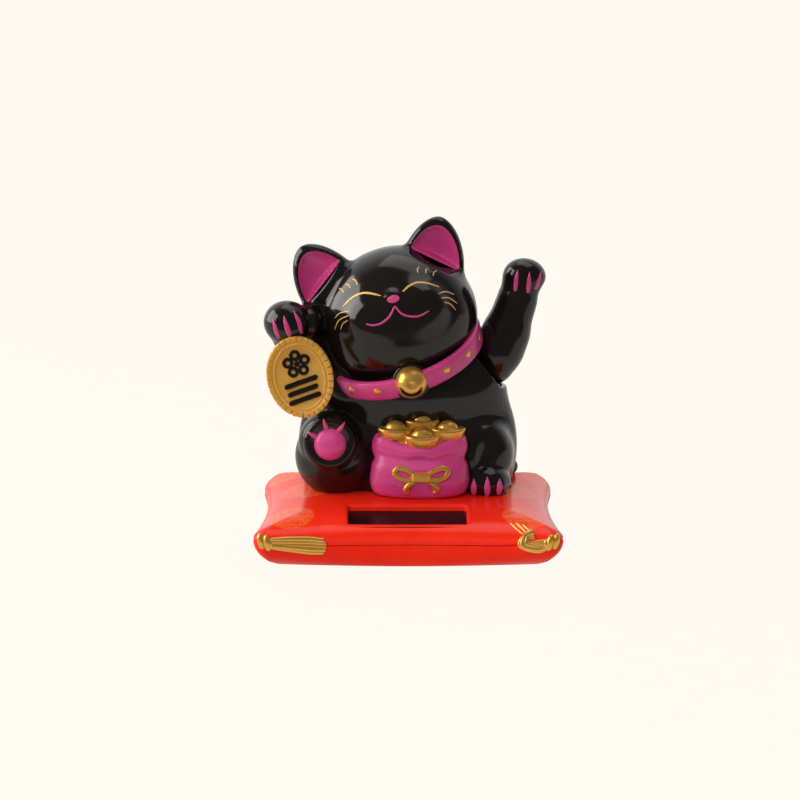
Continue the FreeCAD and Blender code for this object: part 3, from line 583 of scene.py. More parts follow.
SLOT_LEAN = 31.0
SLOT_FLOOR = 55.0
SLOT_CEILING = 84.0
SLOT_INNER_X = 14.0             # nothing of the opening lies further in than this
ARM_GAP = 0.7
SLOT_HALF_DEPTH = 8.4
PARTING_Y = 9.0
PARTING_LAP = 0.7               # each half reaches this far past the middle of the seam
SHELL_WALL = 1.6


def ear_local(points, ear, shift=0.0):
    lean = -HEAD["roll"] + ear["side"] * EAR_SPLAY
    return turned(points - np.array(ear["root"]) - np.array([0, shift, 0]), roll=-lean)


def ear_form(points, ear, inset=0.0, shift=0.0):
    """Rounded triangle, wide at the root, whose sides bow outwards to a blunt tip."""
    local = ear_local(points, ear, shift)
    width, length = EAR_WIDTH - inset, ear["length"] - inset * 1.25
    across, deep = local[:, 0], local[:, 1] * EAR_FLAT
    spread = np.hypot(across, deep) + 1e-6
    up = np.maximum(local[:, 2], 0)
    level = (spread / width) ** EAR_POWER + (up / length) ** EAR_POWER - 1
    slope_out = EAR_POWER / width * (spread / width) ** (EAR_POWER - 1)
    slope_out *= np.hypot(across, deep * EAR_FLAT) / spread
    slope_up = EAR_POWER / length * (up / length) ** (EAR_POWER - 1)
    return level / np.maximum(np.hypot(slope_out, slope_up), 0.05)


def pocket_hollow(points, ear):
    return ear_form(points, ear, inset=EAR_RIM, shift=-POCKET_SHIFT)


def under_pocket(points, ear):
    """How far a point is below the pocket's lower wall, which climbs towards the back."""
    local = ear_local(points, ear)
    c, s = cos_sin(POCKET_LEAN)
    height = local[:, 2] * c + ear["side"] * local[:, 0] * s
    return POCKET_FLOOR + 0.30 * (local[:, 1] + 5) - height


def ear_pocket(points, ear):
    return blend_max(pocket_hollow(points, ear), under_pocket(points, ear), 0.9)


def limb(points, chain, k=3.0):
    out = None
    for (p0, r0), (p1, r1) in zip(chain, chain[1:]):
        part = capsule(points, p0, p1, r0, r1)
        out = part if out is None else blend_min(out, part, k)
    return out


def head_point(u, v, depth=0.0):
    """Frame point under the place (u across, v up) of the face, sunk by depth into the skull."""
    c, s = cos_sin(HEAD["roll"])
    x0, y0, z0 = HEAD["centre"]
    a, b, h = HEAD["radii"]
    y = y0 - b * math.sqrt(max(1 - (u / a) ** 2 - (v / h) ** 2, 0)) + depth
    return (x0 + u * c - v * s, y, z0 + u * s + v * c)


FACE_BUMPS = [                  # place across and up, depth of the middle, radii, fillet
    ((-7.0, 5.0), 3.9, (8.5, 4.6, 6.5), 6.0),
    ((7.0, 5.0), 3.9, (8.5, 4.6, 6.5), 6.0),
    ((0.1, 10.9), 1.0, (2.7, 2.5, 2.4), 1.6),
]


def head_form(points):
    head = ellipsoid(points, HEAD["centre"], HEAD["radii"], HEAD["roll"])
    for place, depth, radii, fillet in FACE_BUMPS:
        head = blend_min(head, ellipsoid(points, head_point(*place, depth), radii, HEAD["roll"]), fillet)
    return head


def paw_form(points, paw, toes=4, spread=0.8, drop=0.35):
    """Mitten with soft toes along its lower front."""
    centre = np.array(paw["centre"])
    radii = np.array(paw["radii"])
    roll = paw.get("roll", 0)
    form = ellipsoid(points, centre, radii, roll)
    local = turned(points - centre, roll)
    for index in range(toes):
        u = (index - (toes - 1) / 2) / ((toes - 1) / 2)
        toe = np.array([u * radii[0] * 0.62 * spread, -radii[1] * (0.72 - 0.12 * u * u), -radii[2] * drop])
        form = blend_min(form, ellipsoid(local, toe, radii * np.array([0.26, 0.30, 0.52])), 1.2)
    return form


def cat_solid(points):
    torso = ellipsoid(points, (0, 16.5, 33), (39.4, 19.0, 41.0))
    for centre, radii in (((0, 8.5, 56), (22, 13.5, 13)),
                          ((21.5, 13.5, 57.5), (12.5, 12, 13)),
                          ((-19.0, 13.5, 57), (12.5, 12, 13))):
        torso = blend_min(torso, ellipsoid(points, centre, radii), 7.0)
    haunch = ellipsoid(points, (-25.8, 5.0, 31.5), (14.4, 13.3, 14.8))
    thigh = ellipsoid(points, (25.2, 8.4, 31.5), (12.6, 11.8, 14.2))
    thigh = blend_max(thigh, -ellipsoid(points, (27.2, -4.0, 34.0), (3.0, 3.4, 8.5), -6), 2.6)
    torso = blend_min(torso, haunch, 2.6)
    torso = blend_min(torso, thigh, 2.0)
    torso = blend_min(torso, limb(points, RAISED_ARM, 4.0), 4.0)
    torso = blend_min(torso, sole_form(points), 0.9)
    torso = blend_min(torso, paw_form(points, RIGHT_FOOT, toes=3, drop=0.15), 1.4)
    torso = blend_min(torso, ellipsoid(points, **RAISED_PAW), 1.2)
    torso = blend_min(torso, ellipsoid(points, **PAW_BACK), 0.4)
    tail = limb(points, [((20, 31.5, 23.5), 3.2), ((31, 30, 23.0), 3.2), ((37.2, 25.5, 22.8), 3.1)], 2.0)
    torso = blend_min(torso, tail, 1.0)
    cat = blend_min(torso, head_form(points), 1.6)
    for ear in EARS:
        cat = blend_min(cat, ear_form(points, ear), 2.4)
    return cat


def sole_form(points):
    """Rounded foot whose sole faces forward, with a raised ring round a shallow dish."""
    foot = ellipsoid(points, **SOLE_FOOT)
    centre = np.array(SOLE_FOOT["centre"])
    radial = np.hypot(points[:, 0] - centre[0], points[:, 2] - centre[2] - 0.6)
    ring = np.hypot(radial - 7.7, points[:, 1] - (centre[1] - 6.6)) - 1.5
    foot = blend_max(foot, -ellipsoid(points, centre + [0, -10.2, 0.6], (8.6, 3.6, 8.6)), 0.6)
    return blend_min(foot, ring, 0.8)


def arm_swept(points, clearance):
    """Space that the waving arm passes through between its limits."""
    out = None
    for degrees in np.linspace(SWING_LIMITS[0], SWING_LIMITS[1], 7):
        c, s = cos_sin(degrees)
        local = points - PIVOT
        back = np.stack([local[:, 0], local[:, 1] * c + local[:, 2] * s,
                         -local[:, 1] * s + local[:, 2] * c], 1) + PIVOT
        value = arm_form(back) - clearance
        out = value if out is None else np.minimum(out, value)
    return out


def arm_slot(points):
    """Opening in the flank: outside a straight slanting edge, over the depth that the arm sweeps."""
    x, y, z = points.T
    c, s = cos_sin(SLOT_LEAN)
    edge = (SLOT_TOP[0] - x) * c + (SLOT_TOP[1] - z) * s
    reach = math.tan(math.radians(SWING_LIMITS[1])) * (z - PIVOT[2])
    depth = np.abs(y - PIVOT[1]) - SLOT_HALF_DEPTH - reach
    opening = blend_max(blend_max(edge, depth, 1.5), SLOT_FLOOR - z, 1.0)
    opening = np.minimum(opening, arm_swept(points, ARM_GAP))
    return blend_max(np.maximum(opening, z - SLOT_CEILING), 0.6 - head_form(points), 0.4)


def cat_shell(points):
    solid = cat_solid(points)
    out = np.maximum(solid, -(solid + SHELL_WALL))
    for ear in EARS:
        out = blend_max(out, -ear_pocket(points, ear), 0.7)
    near_arm = points[:, 0] > SLOT_INNER_X
    if near_arm.any():
        out[near_arm] = blend_max(out[near_arm], -arm_slot(points[near_arm]), 0.6)
    return np.maximum(out, -(cushion_top(points) - 0.05))


def build_cat():
    def front(points):
        return blend_max(cat_shell(points), points[:, 1] - PARTING_Y - PARTING_LAP, 0.1)

    def rear(points):
        return blend_max(cat_shell(points), PARTING_Y - PARTING_LAP - points[:, 1], 0.1)

    shell = field_object("cat_front", front, (-53, -16, 16), (44, PARTING_Y + 1.4, 118), STEP)
    piece(shell, "figure", BLACK, ["cat_front_shell"])
    shell = field_object("cat_rear", rear, (-46, PARTING_Y - 1.4, 16), (44, 38, 118), STEP)
    piece(shell, "figure", BLACK, ["cat_rear_shell"])
    for name, ear in zip(("ear_lining_left", "ear_lining_right"), EARS):
        def lining(points, ear=ear):
            layer = np.abs(ear_pocket(points, ear) - 0.15) - 0.35
            lip = np.maximum(-under_pocket(points, ear) - 0.6, ear_local(points, ear)[:, 1] + 2.6)
            return np.maximum(np.maximum(layer, -lip), ear_form(points, ear) + 0.75)
        root = np.array(ear["root"])
        obj = field_object(name + "_skin", lining, root - [14, 9, 8], root + [14, 6, 22], 0.35)
        piece(obj, "figure", PINK, [name])


# ---- waving arm ----

ARM_CHAIN = [((30.8, PIVOT[1], 61.5), 6.0), ((32.4, PIVOT[1], 67.5), 7.8), ((35.3, PIVOT[1], 75.0), 7.3),
             ((38.6, PIVOT[1], 85.0), 6.0), ((39.9, PIVOT[1], 90.0), 6.2)]
ARM_WALL = 1.3
ARM_PAW = dict(centre=(41.3, PIVOT[1] - 0.6, 94.6), radii=(7.6, 6.8, 6.3), roll=-4)


def arm_form(points):
    return blend_min(limb(points, ARM_CHAIN, 5.0), ellipsoid(points, **ARM_PAW), 2.4)


def build_arm():
    for name, side in (("arm_front", 1), ("arm_rear", -1)):
        def half(points, side=side):
            solid = arm_form(points)
            shell = np.maximum(solid, -(solid + ARM_WALL))
            return blend_max(shell, side * (points[:, 1] - PIVOT[1]) + 0.03, 0.25)
        ahead, behind = (9.8, 0.8) if side == 1 else (0.8, 9.8)
        obj = field_object(name, half, (20, PIVOT[1] - ahead, 53.5), (51, PIVOT[1] + behind, 103), 0.4)
        piece(obj, "arm", BLACK, [name + "_half"])


# ---- painted strokes ----

def drop_on(field, xz, start_y=-30.0):
    """Points on the first surface met going back from the front at each (x, z).
    A start behind the form comes forwards instead."""
    xz = np.asarray(xz, float)
    points = np.stack([xz[:, 0], np.full(len(xz), start_y), xz[:, 1]], 1)
    for _ in range(80):
        points[:, 1] -= math.copysign(0.85, start_y) * np.maximum(field(points), -0.5)
    return points


def unit(vectors):
    return vectors / np.maximum(np.linalg.norm(vectors, axis=1), 1e-9)[:, None]


def stroke(field, xz, width, lift=0.12, samples=26, ends=0.35, swell=None, start_y=-30.0):
    """Painted line: a thin raised strip that follows the surface, tapering at its ends.
    swell gives its share of the full width at even steps along it."""
    path = drop_on(field, spline(xz, samples), start_y)
    normal = unit(gradient(field, path, 0.1))
    t = np.linspace(-1, 1, samples)
    if swell is None:
        share = ends + (1 - ends) * np.sqrt(np.maximum(1 - t ** 4, 0.0))
    else:
        share = np.interp(t, np.linspace(-1, 1, len(swell)), swell)
    return tube(path + normal * lift * 0.1, width / 2 * share, lift * np.sqrt(share), normal, sides=10)


def face_line(points):
    return [head_point(u, v)[::2] for u, v in points]


EYES = [[(-17.5, 10.9), (-14.3, 13.1), (-11.0, 14.3), (-7.6, 14.2), (-3.4, 12.5)],
        [(4.2, 12.1), (6.6, 13.3), (9.6, 13.7), (13.0, 12.6), (16.7, 10.2)]]
MOUTH = [[(0.5, 8.3), (-1.9, 5.4), (-5.1, 3.7), (-8.3, 3.5), (-10.6, 4.5)],
         [(0.5, 8.3), (2.3, 5.1), (5.1, 3.5), (8.1, 3.0), (11.5, 3.8)]]
BROWS = [[(-17.5, 16.8), (-16.6, 16.4), (-16.0, 15.4)], [(-15.0, 18.0), (-13.9, 17.6), (-13.3, 16.5)],
         [(-12.0, 19.2), (-11.0, 18.5), (-10.7, 17.1)], [(11.5, 18.1), (10.8, 17.5), (10.7, 16.4)],
         [(14.5, 16.8), (13.6, 16.5), (13.3, 15.5)], [(17.2, 15.2), (16.1, 15.0), (15.5, 14.0)]]
WHISKERS = [[(-21.3, 7.4), (-18.9, 9.0), (-15.5, 9.4)], [(-22.3, 3.4), (-19.9, 6.6), (-15.8, 8.2)],
            [(-20.1, 3.4), (-18.7, 5.4), (-16.6, 6.6)], [(16.0, 8.3), (18.6, 7.9), (21.2, 5.9)],
            [(16.5, 6.6), (19.1, 5.6), (21.5, 2.7)], [(17.2, 4.9), (19.0, 3.6), (20.5, 0.7)]]


def build_face():
    gold = [stroke(head_form, face_line(line), 0.85) for line in EYES]
    gold += [stroke(head_form, face_line(line), 0.44, samples=12) for line in BROWS + WHISKERS]
    piece(join_pieces("face_lines", gold), "figure", LINE_GOLD)
    pink = [stroke(head_form, face_line(line), 0.72) for line in MOUTH]
    piece(join_pieces("mouth_line", pink), "figure", PINK)

    def nose(points):
        centre = head_point(0.6, 10.7, 0)
        spot = ellipsoid(points, (centre[0], -14.6, centre[2]), (2.35, 3.6, 1.4), HEAD["roll"])
        return blend_max(np.abs(head_form(points) - 0.05) - 0.22, spot, 0.2)
    low = np.array(head_point(0.6, 10.7)) - [4, 8, 3]
    obj = field_object("nose_paint", nose, low, low + [8, 10, 6], 0.2)
    piece(obj, "figure", PINK, ["nose"])


# ---- claws and sole ----

CLAW_SWELL = (0.12, 0.55, 0.85, 1.0, 0.9, 0.55)
FOOT_SWELL = (0.15, 0.75, 1.0, 0.9, 0.6)


def claw_set(name, node_name, field, lines, width, swell=CLAW_SWELL, start_y=-30.0, body="figure"):
    marks = [stroke(field, line, width, 0.35, 18, swell=swell, start_y=start_y) for line in lines]
    piece(join_pieces(name, marks), body, PINK, [node_name])


def build_claws():
    raised = [[(-46.9, 83.0), (-46.0, 79.6), (-44.9, 75.9)], [(-43.0, 84.0), (-42.0, 80.4), (-40.9, 76.6)],
              [(-39.7, 85.4), (-37.9, 82.0), (-36.9, 77.6)]]
    claw_set("raised_claws", "raised_paw_claws", lambda p: ellipsoid(p, **RAISED_PAW), raised, 1.9)
    waving = [[(38.7, 97.6), (38.1, 94.0), (37.8, 90.0)], [(42.8, 96.9), (42.6, 93.3), (42.3, 89.4)],
              [(47.0, 96.8), (46.1, 93.4), (45.0, 90.4)]]
    claw_set("waving_claws", "arm_claws", arm_form, waving, 1.7, start_y=-5.0, body="arm")
    foot = [[(23.2, 25.2), (23.1, 22.2), (23.2, 19.4)], [(27.9, 26.0), (27.9, 22.4), (27.9, 19.0)],
            [(32.3, 25.2), (32.3, 22.4), (32.0, 19.6)]]
    claw_set("foot_claw_marks", "foot_claws", lambda p: paw_form(p, RIGHT_FOOT, toes=3, drop=0.15),
             foot, 2.2, FOOT_SWELL, -14.0)


def build_sole():
    def dome(points):
        middle = np.array(SOLE_FOOT["centre"]) + [0.2, -6.0, 0.2]
        return ellipsoid(points, middle, (6.1, 4.0, 6.2))
    centre = np.array(SOLE_FOOT["centre"])
    obj = field_object("sole_dome", dome, centre - [7.5, 10.5, 6.8], centre + [7.5, 0.5, 8.0], 0.3)
    marks = [[(-29.5, 47.2), (-28.6, 43.6)], [(-22.2, 46.0), (-24.6, 42.6)], [(-35.2, 42.9), (-31.9, 40.6)]]
    toes = [stroke(lambda p: np.minimum(sole_form(p), dome(p)), line, 1.6, 0.35, 14,
                   swell=(0.3, 0.7, 1.0, 1.0), start_y=-14.0) for line in marks]
    strokes = join_pieces("sole_toe_marks", toes)
    piece(strokes, "figure", PINK)
    piece(obj, "figure", PINK, ["sole_pad"])


# ---- collar and bell ----

COLLAR = dict(centre=(-1.0, 10.2, 68.3), half=(26.7, 22.2), roll=17.8, pitch=22.5)
COLLAR_BACK = 26.2              # the strap reaches further behind its middle than in front of it
COLLAR_HALF_WIDTH = 3.7
COLLAR_HALF_THICK = 1.5
DOT_ANGLES = (27, 50, 73, 97, 121, 145, 169)


def collar_axes():
    """Sideways, forwards and up directions of the collar's own plane."""
    basis = []
    for axis in ((1, 0, 0), (0, -1, 0), (0, 0, 1)):
        x, y, z = axis
        c, s = cos_sin(COLLAR["pitch"])
        y, z = y * c - z * s, y * s + z * c
        c, s = cos_sin(COLLAR["roll"])
        x, z = x * c - z * s, x * s + z * c
        basis.append(np.array([x, y, z]))
    return basis


def collar_path(angles):
    side, ahead, _ = collar_axes()
    a, b = COLLAR["half"]
    b = np.where(np.cos(angles) > 0, b, COLLAR_BACK)
    return (np.array(COLLAR["centre"]) + np.sin(angles)[:, None] * a * side
            + (b * np.cos(angles))[:, None] * ahead)


def band(path, up, half_width, half_thick, sides=20, squareness=0.55):
    """Closed strap whose flat outer face has rounded edges; up is the direction of its width."""
    count = len(path)
    ahead = unit(np.roll(path, -1, 0) - np.roll(path, 1, 0))
    out = unit(np.cross(ahead, up))
    angle = np.linspace(0, 2 * math.pi, sides, endpoint=False)
    c, s = np.cos(angle), np.sin(angle)
    c = np.sign(c) * np.abs(c) ** squareness
    s = np.sign(s) * np.abs(s) ** squareness
    ring = (up[None, None, :] * (c * half_width)[None, :, None]
            + out[:, None, :] * (s * half_thick)[None, :, None])
    points = (path[:, None] + ring).reshape(-1, 3)
    return points, skin(count, sides, True)


def cap_faces(sides, rows):
    """Faces of a dome: a fan at its top, then rings of quads."""
    faces = [(0, 1 + k, 1 + (k + 1) % sides) for k in range(sides)]
    for row in range(rows - 1):
        a, b = 1 + row * sides, 1 + (row + 1) * sides
        faces += [(a + k, b + k, b + (k + 1) % sides, a + (k + 1) % sides) for k in range(sides)]
    return faces


def oval_boss(centre, out, up, half, sides=20, rows=5):
    """Low dome lying on a surface: the vertices and faces of a flattened cap."""
    across = np.cross(up, out)
    points = [np.array(centre) + out * half[2]]
    for row in range(1, rows + 1):
        tilt = math.pi / 2 * row / rows
        for k in range(sides):
            turn = 2 * math.pi * k / sides
            points.append(np.array(centre) + across * half[0] * math.sin(tilt) * math.cos(turn)
                          + up * half[1] * math.sin(tilt) * math.sin(turn)
                          + out * half[2] * math.cos(tilt))
    faces = cap_faces(sides, rows)
    faces.append(tuple(1 + (rows - 1) * sides + k for k in range(sides))[::-1])
    return points, faces


def build_collar():
    _, _, up = collar_axes()
    angles = np.linspace(0, 2 * math.pi, 180, endpoint=False)
    faces = band(collar_path(angles), up, COLLAR_HALF_WIDTH, COLLAR_HALF_THICK)
    strap = make_object("collar_strap", *faces)
    piece(strap, "figure", PINK, ["collar"])
    dots = []
    for degrees in [a * side for a in DOT_ANGLES for side in (-1, 1)]:
        near = collar_path(np.radians([degrees - 1, degrees, degrees + 1]))
        out = np.cross(near[2] - near[0], up)
        out /= np.linalg.norm(out)
        out *= np.sign(out @ (near[1] - np.array(COLLAR["centre"])))
        place = near[1] + out * (COLLAR_HALF_THICK - 0.12) + up * 0.6
        dots.append(oval_boss(place, out, up, (1.35, 1.35, 0.4)))
    piece(join_pieces("collar_dots", dots), "figure", GOLD)


BELL_SLOT_R = 3.95              # curved mouth below the bell's middle


def build_bell():
    centre = BELL

    def ring(points):
        local = points - centre - np.array([0, 1.6, 0])
        return np.hypot(np.hypot(local[:, 0], local[:, 2]) - 5.5, local[:, 1]) - 1.15

    def bell(points):
        local = points - centre
        form = ellipsoid(points, centre, (5.6, 5.6, 5.6))
        form = blend_max(form, -ellipsoid(local, (0.2, -6.4, 0.1), (1.3, 1.5, 1.3)), 0.9)
        turn = np.degrees(np.arctan2(local[:, 2], local[:, 0] - 0.1))
        along = np.radians(np.where(turn > 90, -150, np.clip(turn, -150, -28)))
        on_arc = np.stack([0.1 + BELL_SLOT_R * np.cos(along), np.full(len(local), -3.9),
                           BELL_SLOT_R * np.sin(along)], 1)
        groove = np.linalg.norm(local - on_arc, axis=1) - 0.8
        return blend_max(form, -groove, 0.35)

    # Black tube laid along the bell's groove: painted shade that darkens the inside of the slot.
    turns = np.radians(np.linspace(-148, -30, 30))
    arc = centre + np.stack([0.1 + BELL_SLOT_R * np.cos(turns), np.full(30, -3.35),
                             BELL_SLOT_R * np.sin(turns)], 1)
    slot = make_object("bell_slot_painted_shade", *tube(arc, np.full(30, 0.62), np.full(30, 0.62), unit(arc - centre)))
    piece(slot, "figure", BLACK)
    obj = field_object("bell_seat", ring, centre - [7.5, 1.5, 7.5], centre + [7.5, 4.5, 7.5], 0.3)
    piece(obj, "figure", BLACK)
    obj = field_object("bell_ball", bell, centre - [6.4, 6.6, 6.4], centre + [6.4, 6.4, 6.4], 0.2)
    piece(obj, "figure", GOLD, ["collar_bell"])


# ---- coin ----

COIN_RADII = (11.6, 14.5)
COIN_HALF_THICK = 1.3
COIN_ROLL = 13.0
COIN_NOTCHES = 34


def coin_local(points):
    return turned(points - COIN, roll=COIN_ROLL)


def plan_ellipse(x, z, a, b):
    k0 = np.hypot(x / a, z / b)
    k1 = np.hypot(x / a ** 2, z / b ** 2)
    return k0 * (k0 - 1) / np.maximum(k1, 1e-6)


def build_coin():
    def coin(points):
        x, y, z = coin_local(points).T
        edge = plan_ellipse(x, z, *COIN_RADII)
        turn = np.arctan2(z / COIN_RADII[1], x / COIN_RADII[0])
        raised = 0.35 * smooth_step((edge + 2.1) / 0.5)
        ridge = 0.32 * np.exp(-((edge + 2.9) / 0.32) ** 2)
        tooth = np.abs((turn * COIN_NOTCHES / (2 * math.pi)) % 1 - 0.5) * 2
        worn = 0.35 + 0.65 * smooth_step(0.5 + np.cos(turn + 0.9))
        notch = 1.0 * worn * smooth_step((0.16 - tooth) / 0.14) * smooth_step((edge + 1.9) / 0.4)
        face = np.abs(y) - (COIN_HALF_THICK - 0.3 + raised + ridge - notch)
        return blend_max(edge + 0.5 * notch, face, 0.7)
    reach = np.array([12.5, 2.6, 16.5])
    obj = field_object("coin_plate", coin, COIN - reach, COIN + reach, 0.26)
    piece(obj, "figure", COIN_GOLD, ["coin"])

    petals = [(3.1 * c, 4.9 + 3.1 * s) for c, s in (cos_sin(90 + 72 * k) for k in range(5))]

    def emblem(points):
        x, y, z = coin_local(points).T
        flat = np.hypot(x, z - 4.9) - 1.0
        for px, pz in petals:
            flat = np.minimum(flat, np.abs(np.hypot(x - px, z - pz) - 1.35) - 0.62)
        for half, height in ((5.2, -1.7), (4.7, -4.7), (5.0, -7.7)):
            across = np.maximum(np.abs(x) - half, 0)
            flat = np.minimum(flat, np.hypot(across, z - height - 0.12 * x) - 0.92)
        return blend_max(flat, np.abs(y + COIN_HALF_THICK) - 0.42, 0.35)
    obj = field_object("coin_motif", emblem, COIN - [9, 4, 13], COIN + [9, 0.6, 13], 0.22)
    piece(obj, "figure", BLACK, ["coin_emblem"])


# ---- money bag ----

BAG_CENTRE = (4.1, -3.2)
BAG_PROFILE = [(18.4, 13.4, 6.2), (20.0, 16.2, 7.6), (24.0, 17.6, 8.7), (27.5, 17.4, 8.7),
               (30.4, 16.9, 8.4), (32.8, 15.8, 7.5), (36.5, 15.2, 6.6)]
INGOTS = [(4.9, -0.9, 43.9), (-4.4, -4.4, 41.7), (14.0, -4.4, 41.7), (4.9, -8.1, 39.8)]


def bag_form(points):
    """Full pouch with a pinched neck and a thick, loosely gathered lip."""
    x, y = points[:, 0] - BAG_CENTRE[0], points[:, 1] - BAG_CENTRE[1]
    z = points[:, 2]
    turn = np.arctan2(y / 7.6, x / 16.0)
    ends = np.cos(turn) ** 2
    front = np.maximum(-np.sin(turn), 0)
    rows = spline(BAG_PROFILE, 60)
    shifted = z + 0.9 * (1 - ends) * front * smooth_step((z - 28) / 6)
    half_x = np.interp(shifted, rows[:, 0], rows[:, 1])
    half_y = np.interp(shifted, rows[:, 0], rows[:, 2])
    fold = 0.012 * np.sin(5 * turn + 0.6) * smooth_step((z - 27) / 6)
    k0 = (np.abs(x / half_x) ** 2.35 + np.abs(y / half_y) ** 2.35) ** (1 / 2.35)
    wall = (k0 * (1 + fold) - 1) * np.minimum(half_x, half_y) * 0.95
    neck = 32.2 + 0.9 * ends
    body = blend_max(wall, z - neck - 1.4, 1.5)
    body = blend_max(body, 18.2 - z, 3.0)
    lip_a, lip_b = 14.6, 6.0
    wave = 0.35 * np.sin(7 * turn + 0.4) + 0.22 * np.sin(11 * turn)
    reach = np.hypot(lip_a * np.cos(turn), lip_b * np.sin(turn))
    out = (np.hypot(x / lip_a, y / lip_b) - 1) * reach + 0.2 * wave
    lip_z = 35.3 + 1.7 * ends + 1.0 * np.maximum(np.sin(turn), 0) + wave * 0.8
    half_height = 2.7 + 1.2 * ends
    lip = (np.hypot(out / 2.3, (z - lip_z) / half_height) - 1) * 2.3
    return blend_min(body, lip, 0.7)


def ingot_form(points, centre):
    """Boat with a flared rim and a dome amidships."""
    x, y, z = (points - np.array(centre)).T
    flare = 1.0 + 0.12 * np.clip(z / 1.7, -1, 1)
    sheer = 0.012 * x ** 2
    hull = plan_ellipse(x / flare, y / flare, 5.9, 4.2)
    hull = blend_max(hull, np.abs(z + 0.4 - sheer * 0.5) - 2.1 - sheer * 0.5, 1.7)
    dish = ellipsoid(points - np.array(centre), (0, 0, 2.3), (5.0, 3.3, 1.2))
    hull = blend_max(hull, -dish, 0.4)
    dome = ellipsoid(points - np.array(centre), (0, 0, 1.0), (3.8, 3.1, 3.4))
    return blend_min(hull, dome, 0.5)


def build_bag():
    low = np.array([BAG_CENTRE[0] - 19.5, BAG_CENTRE[1] - 10.5, 17.0])
    obj = field_object("bag_pouch", bag_form, low, low + [39, 21, 28], 0.45)
    piece(obj, "figure", PINK, ["money_bag"])

    def heap(points):
        out = ingot_form(points, INGOTS[0])
        for centre in INGOTS[1:]:
            out = blend_min(out, ingot_form(points, centre), 0.25)
        return np.minimum(out, ellipsoid(points, (4.9, -3.6, 37.6), (12.5, 5.6, 3.6)))
    obj = field_object("ingot_heap", heap, (-12.5, -13.5, 33.5), (22.5, 4.5, 49), 0.3)
    piece(obj, "figure", GOLD, ["gold_ingots"])


BOW_KNOT = (4.6, 27.3)


def build_bow():
    def lay(line, radius, samples=40, closed=False, lift=0.3):
        xz = np.array(line, float) + BOW_KNOT
        xz = spline(np.vstack([xz, xz[:1]]), samples + 1)[:-1] if closed else spline(xz, samples)
        path = drop_on(bag_form, xz, -20.0)
        normal = unit(gradient(bag_form, path, 0.15))
        path = path + normal * lift
        share = 1.0 if closed else 1 - 0.25 * np.abs(np.linspace(-1, 1, samples)) ** 3
        return tube(path, radius * share, radius * 0.9 * share, normal, sides=12, closed=closed)
    parts = []
    for side in (-1, 1):
        loop = [(1.5, 0.2), (4.2, 2.0), (7.4, 3.0), (9.2, 2.0), (8.5, 0.1), (5.6, -1.2), (3.0, -0.7)]
        end = [(1.2, -1.0), (3.9, -2.4), (5.3, -4.2), (4.7, -5.6)]
        parts.append(lay([(side * u, v) for u, v in loop], 1.0, 48, closed=True))
        parts.append(lay([(side * u, v) for u, v in end], 1.1))
    piece(join_pieces("bow_ribbon", parts), "figure", GOLD, ["bag_bow"])

    def knot(points):
        at = drop_on(bag_form, [BOW_KNOT], -20.0)[0]
        local = np.abs(points - at + np.array([0, 0.4, 0])) - np.array([2.5, 0.7, 1.0])
        outside = np.linalg.norm(np.maximum(local, 0), axis=1)
        return outside + np.minimum(local.max(1), 0) - 0.75
    low = np.array([BOW_KNOT[0] - 4.2, -16.5, BOW_KNOT[1] - 2.8])
    obj = field_object("bow_knot", knot, low, low + [8.4, 9, 5.6], 0.25)
    piece(obj, "figure", GOLD)


# ---- tassels ----

STRAND_R = 0.86


def surface_strand(line, radius, start_y, lift=0.25, samples=24, taper=0.15):
    path = drop_on(cushion_form, spline(line, samples), start_y)
    normal = unit(gradient(cushion_form, path, 0.3))
    share = 1 - taper * np.abs(np.linspace(-1, 1, samples)) ** 4
    return tube(path + normal * lift, radius * share, radius * share, normal, sides=10)


def blob(centre, radii, lean=0.0, sides=20, rows=12):
    """Closed ellipsoid as vertices and faces, leaning towards +X."""
    points = [np.array([0, 0, 1.0])]
    for row in range(1, rows):
        tilt = math.pi * row / rows
        points += [np.array([math.sin(tilt) * math.cos(2 * math.pi * k / sides),
                             math.sin(tilt) * math.sin(2 * math.pi * k / sides), math.cos(tilt)])
                   for k in range(sides)]
    points.append(np.array([0, 0, -1.0]))
    local = np.array(points) * np.array(radii)
    c, s = cos_sin(lean)
    x = local[:, 0] * c + local[:, 2] * s
    z = -local[:, 0] * s + local[:, 2] * c
    last = len(points) - 1
    faces = cap_faces(sides, rows - 1)
    tail = 1 + (rows - 2) * sides
    faces += [(last, tail + (k + 1) % sides, tail + k) for k in range(sides)]
    return np.stack([x, local[:, 1], z], 1) + np.array(centre), faces


def tassel_knot(side, start_y):
    """Two fat turns of cord bound side by side at the cushion's corner."""
    parts = []
    for x, z, lean in ((50.0, 11.2, 12), (47.9, 10.8, 12)):
        at = drop_on(cushion_form, [(side * x, z)], start_y)[0]
        parts.append(blob(at, (1.35, 1.5, 2.9), side * lean))
    at = drop_on(cushion_form, [(side * 46.6, 10.4)], start_y)[0]
    parts.append(blob(at, (0.9, 1.3, 1.9)))
    return parts


def straight_tassel(side, start_y):
    parts = tassel_knot(side, start_y)
    for index in range(5):
        t = index / 2 - 1
        line = [(side * 46.6, 10.5 + 1.2 * t), (side * 41.0, 10.1 + 1.7 * t),
                (side * 34.0, 9.5 + 2.2 * t), (side * (28.0 + 0.9 * t * t), 9.1 + 2.1 * t)]
        parts.append(surface_strand(line, STRAND_R, start_y, lift=0.1 + 0.45 * (index % 2)))
    return parts


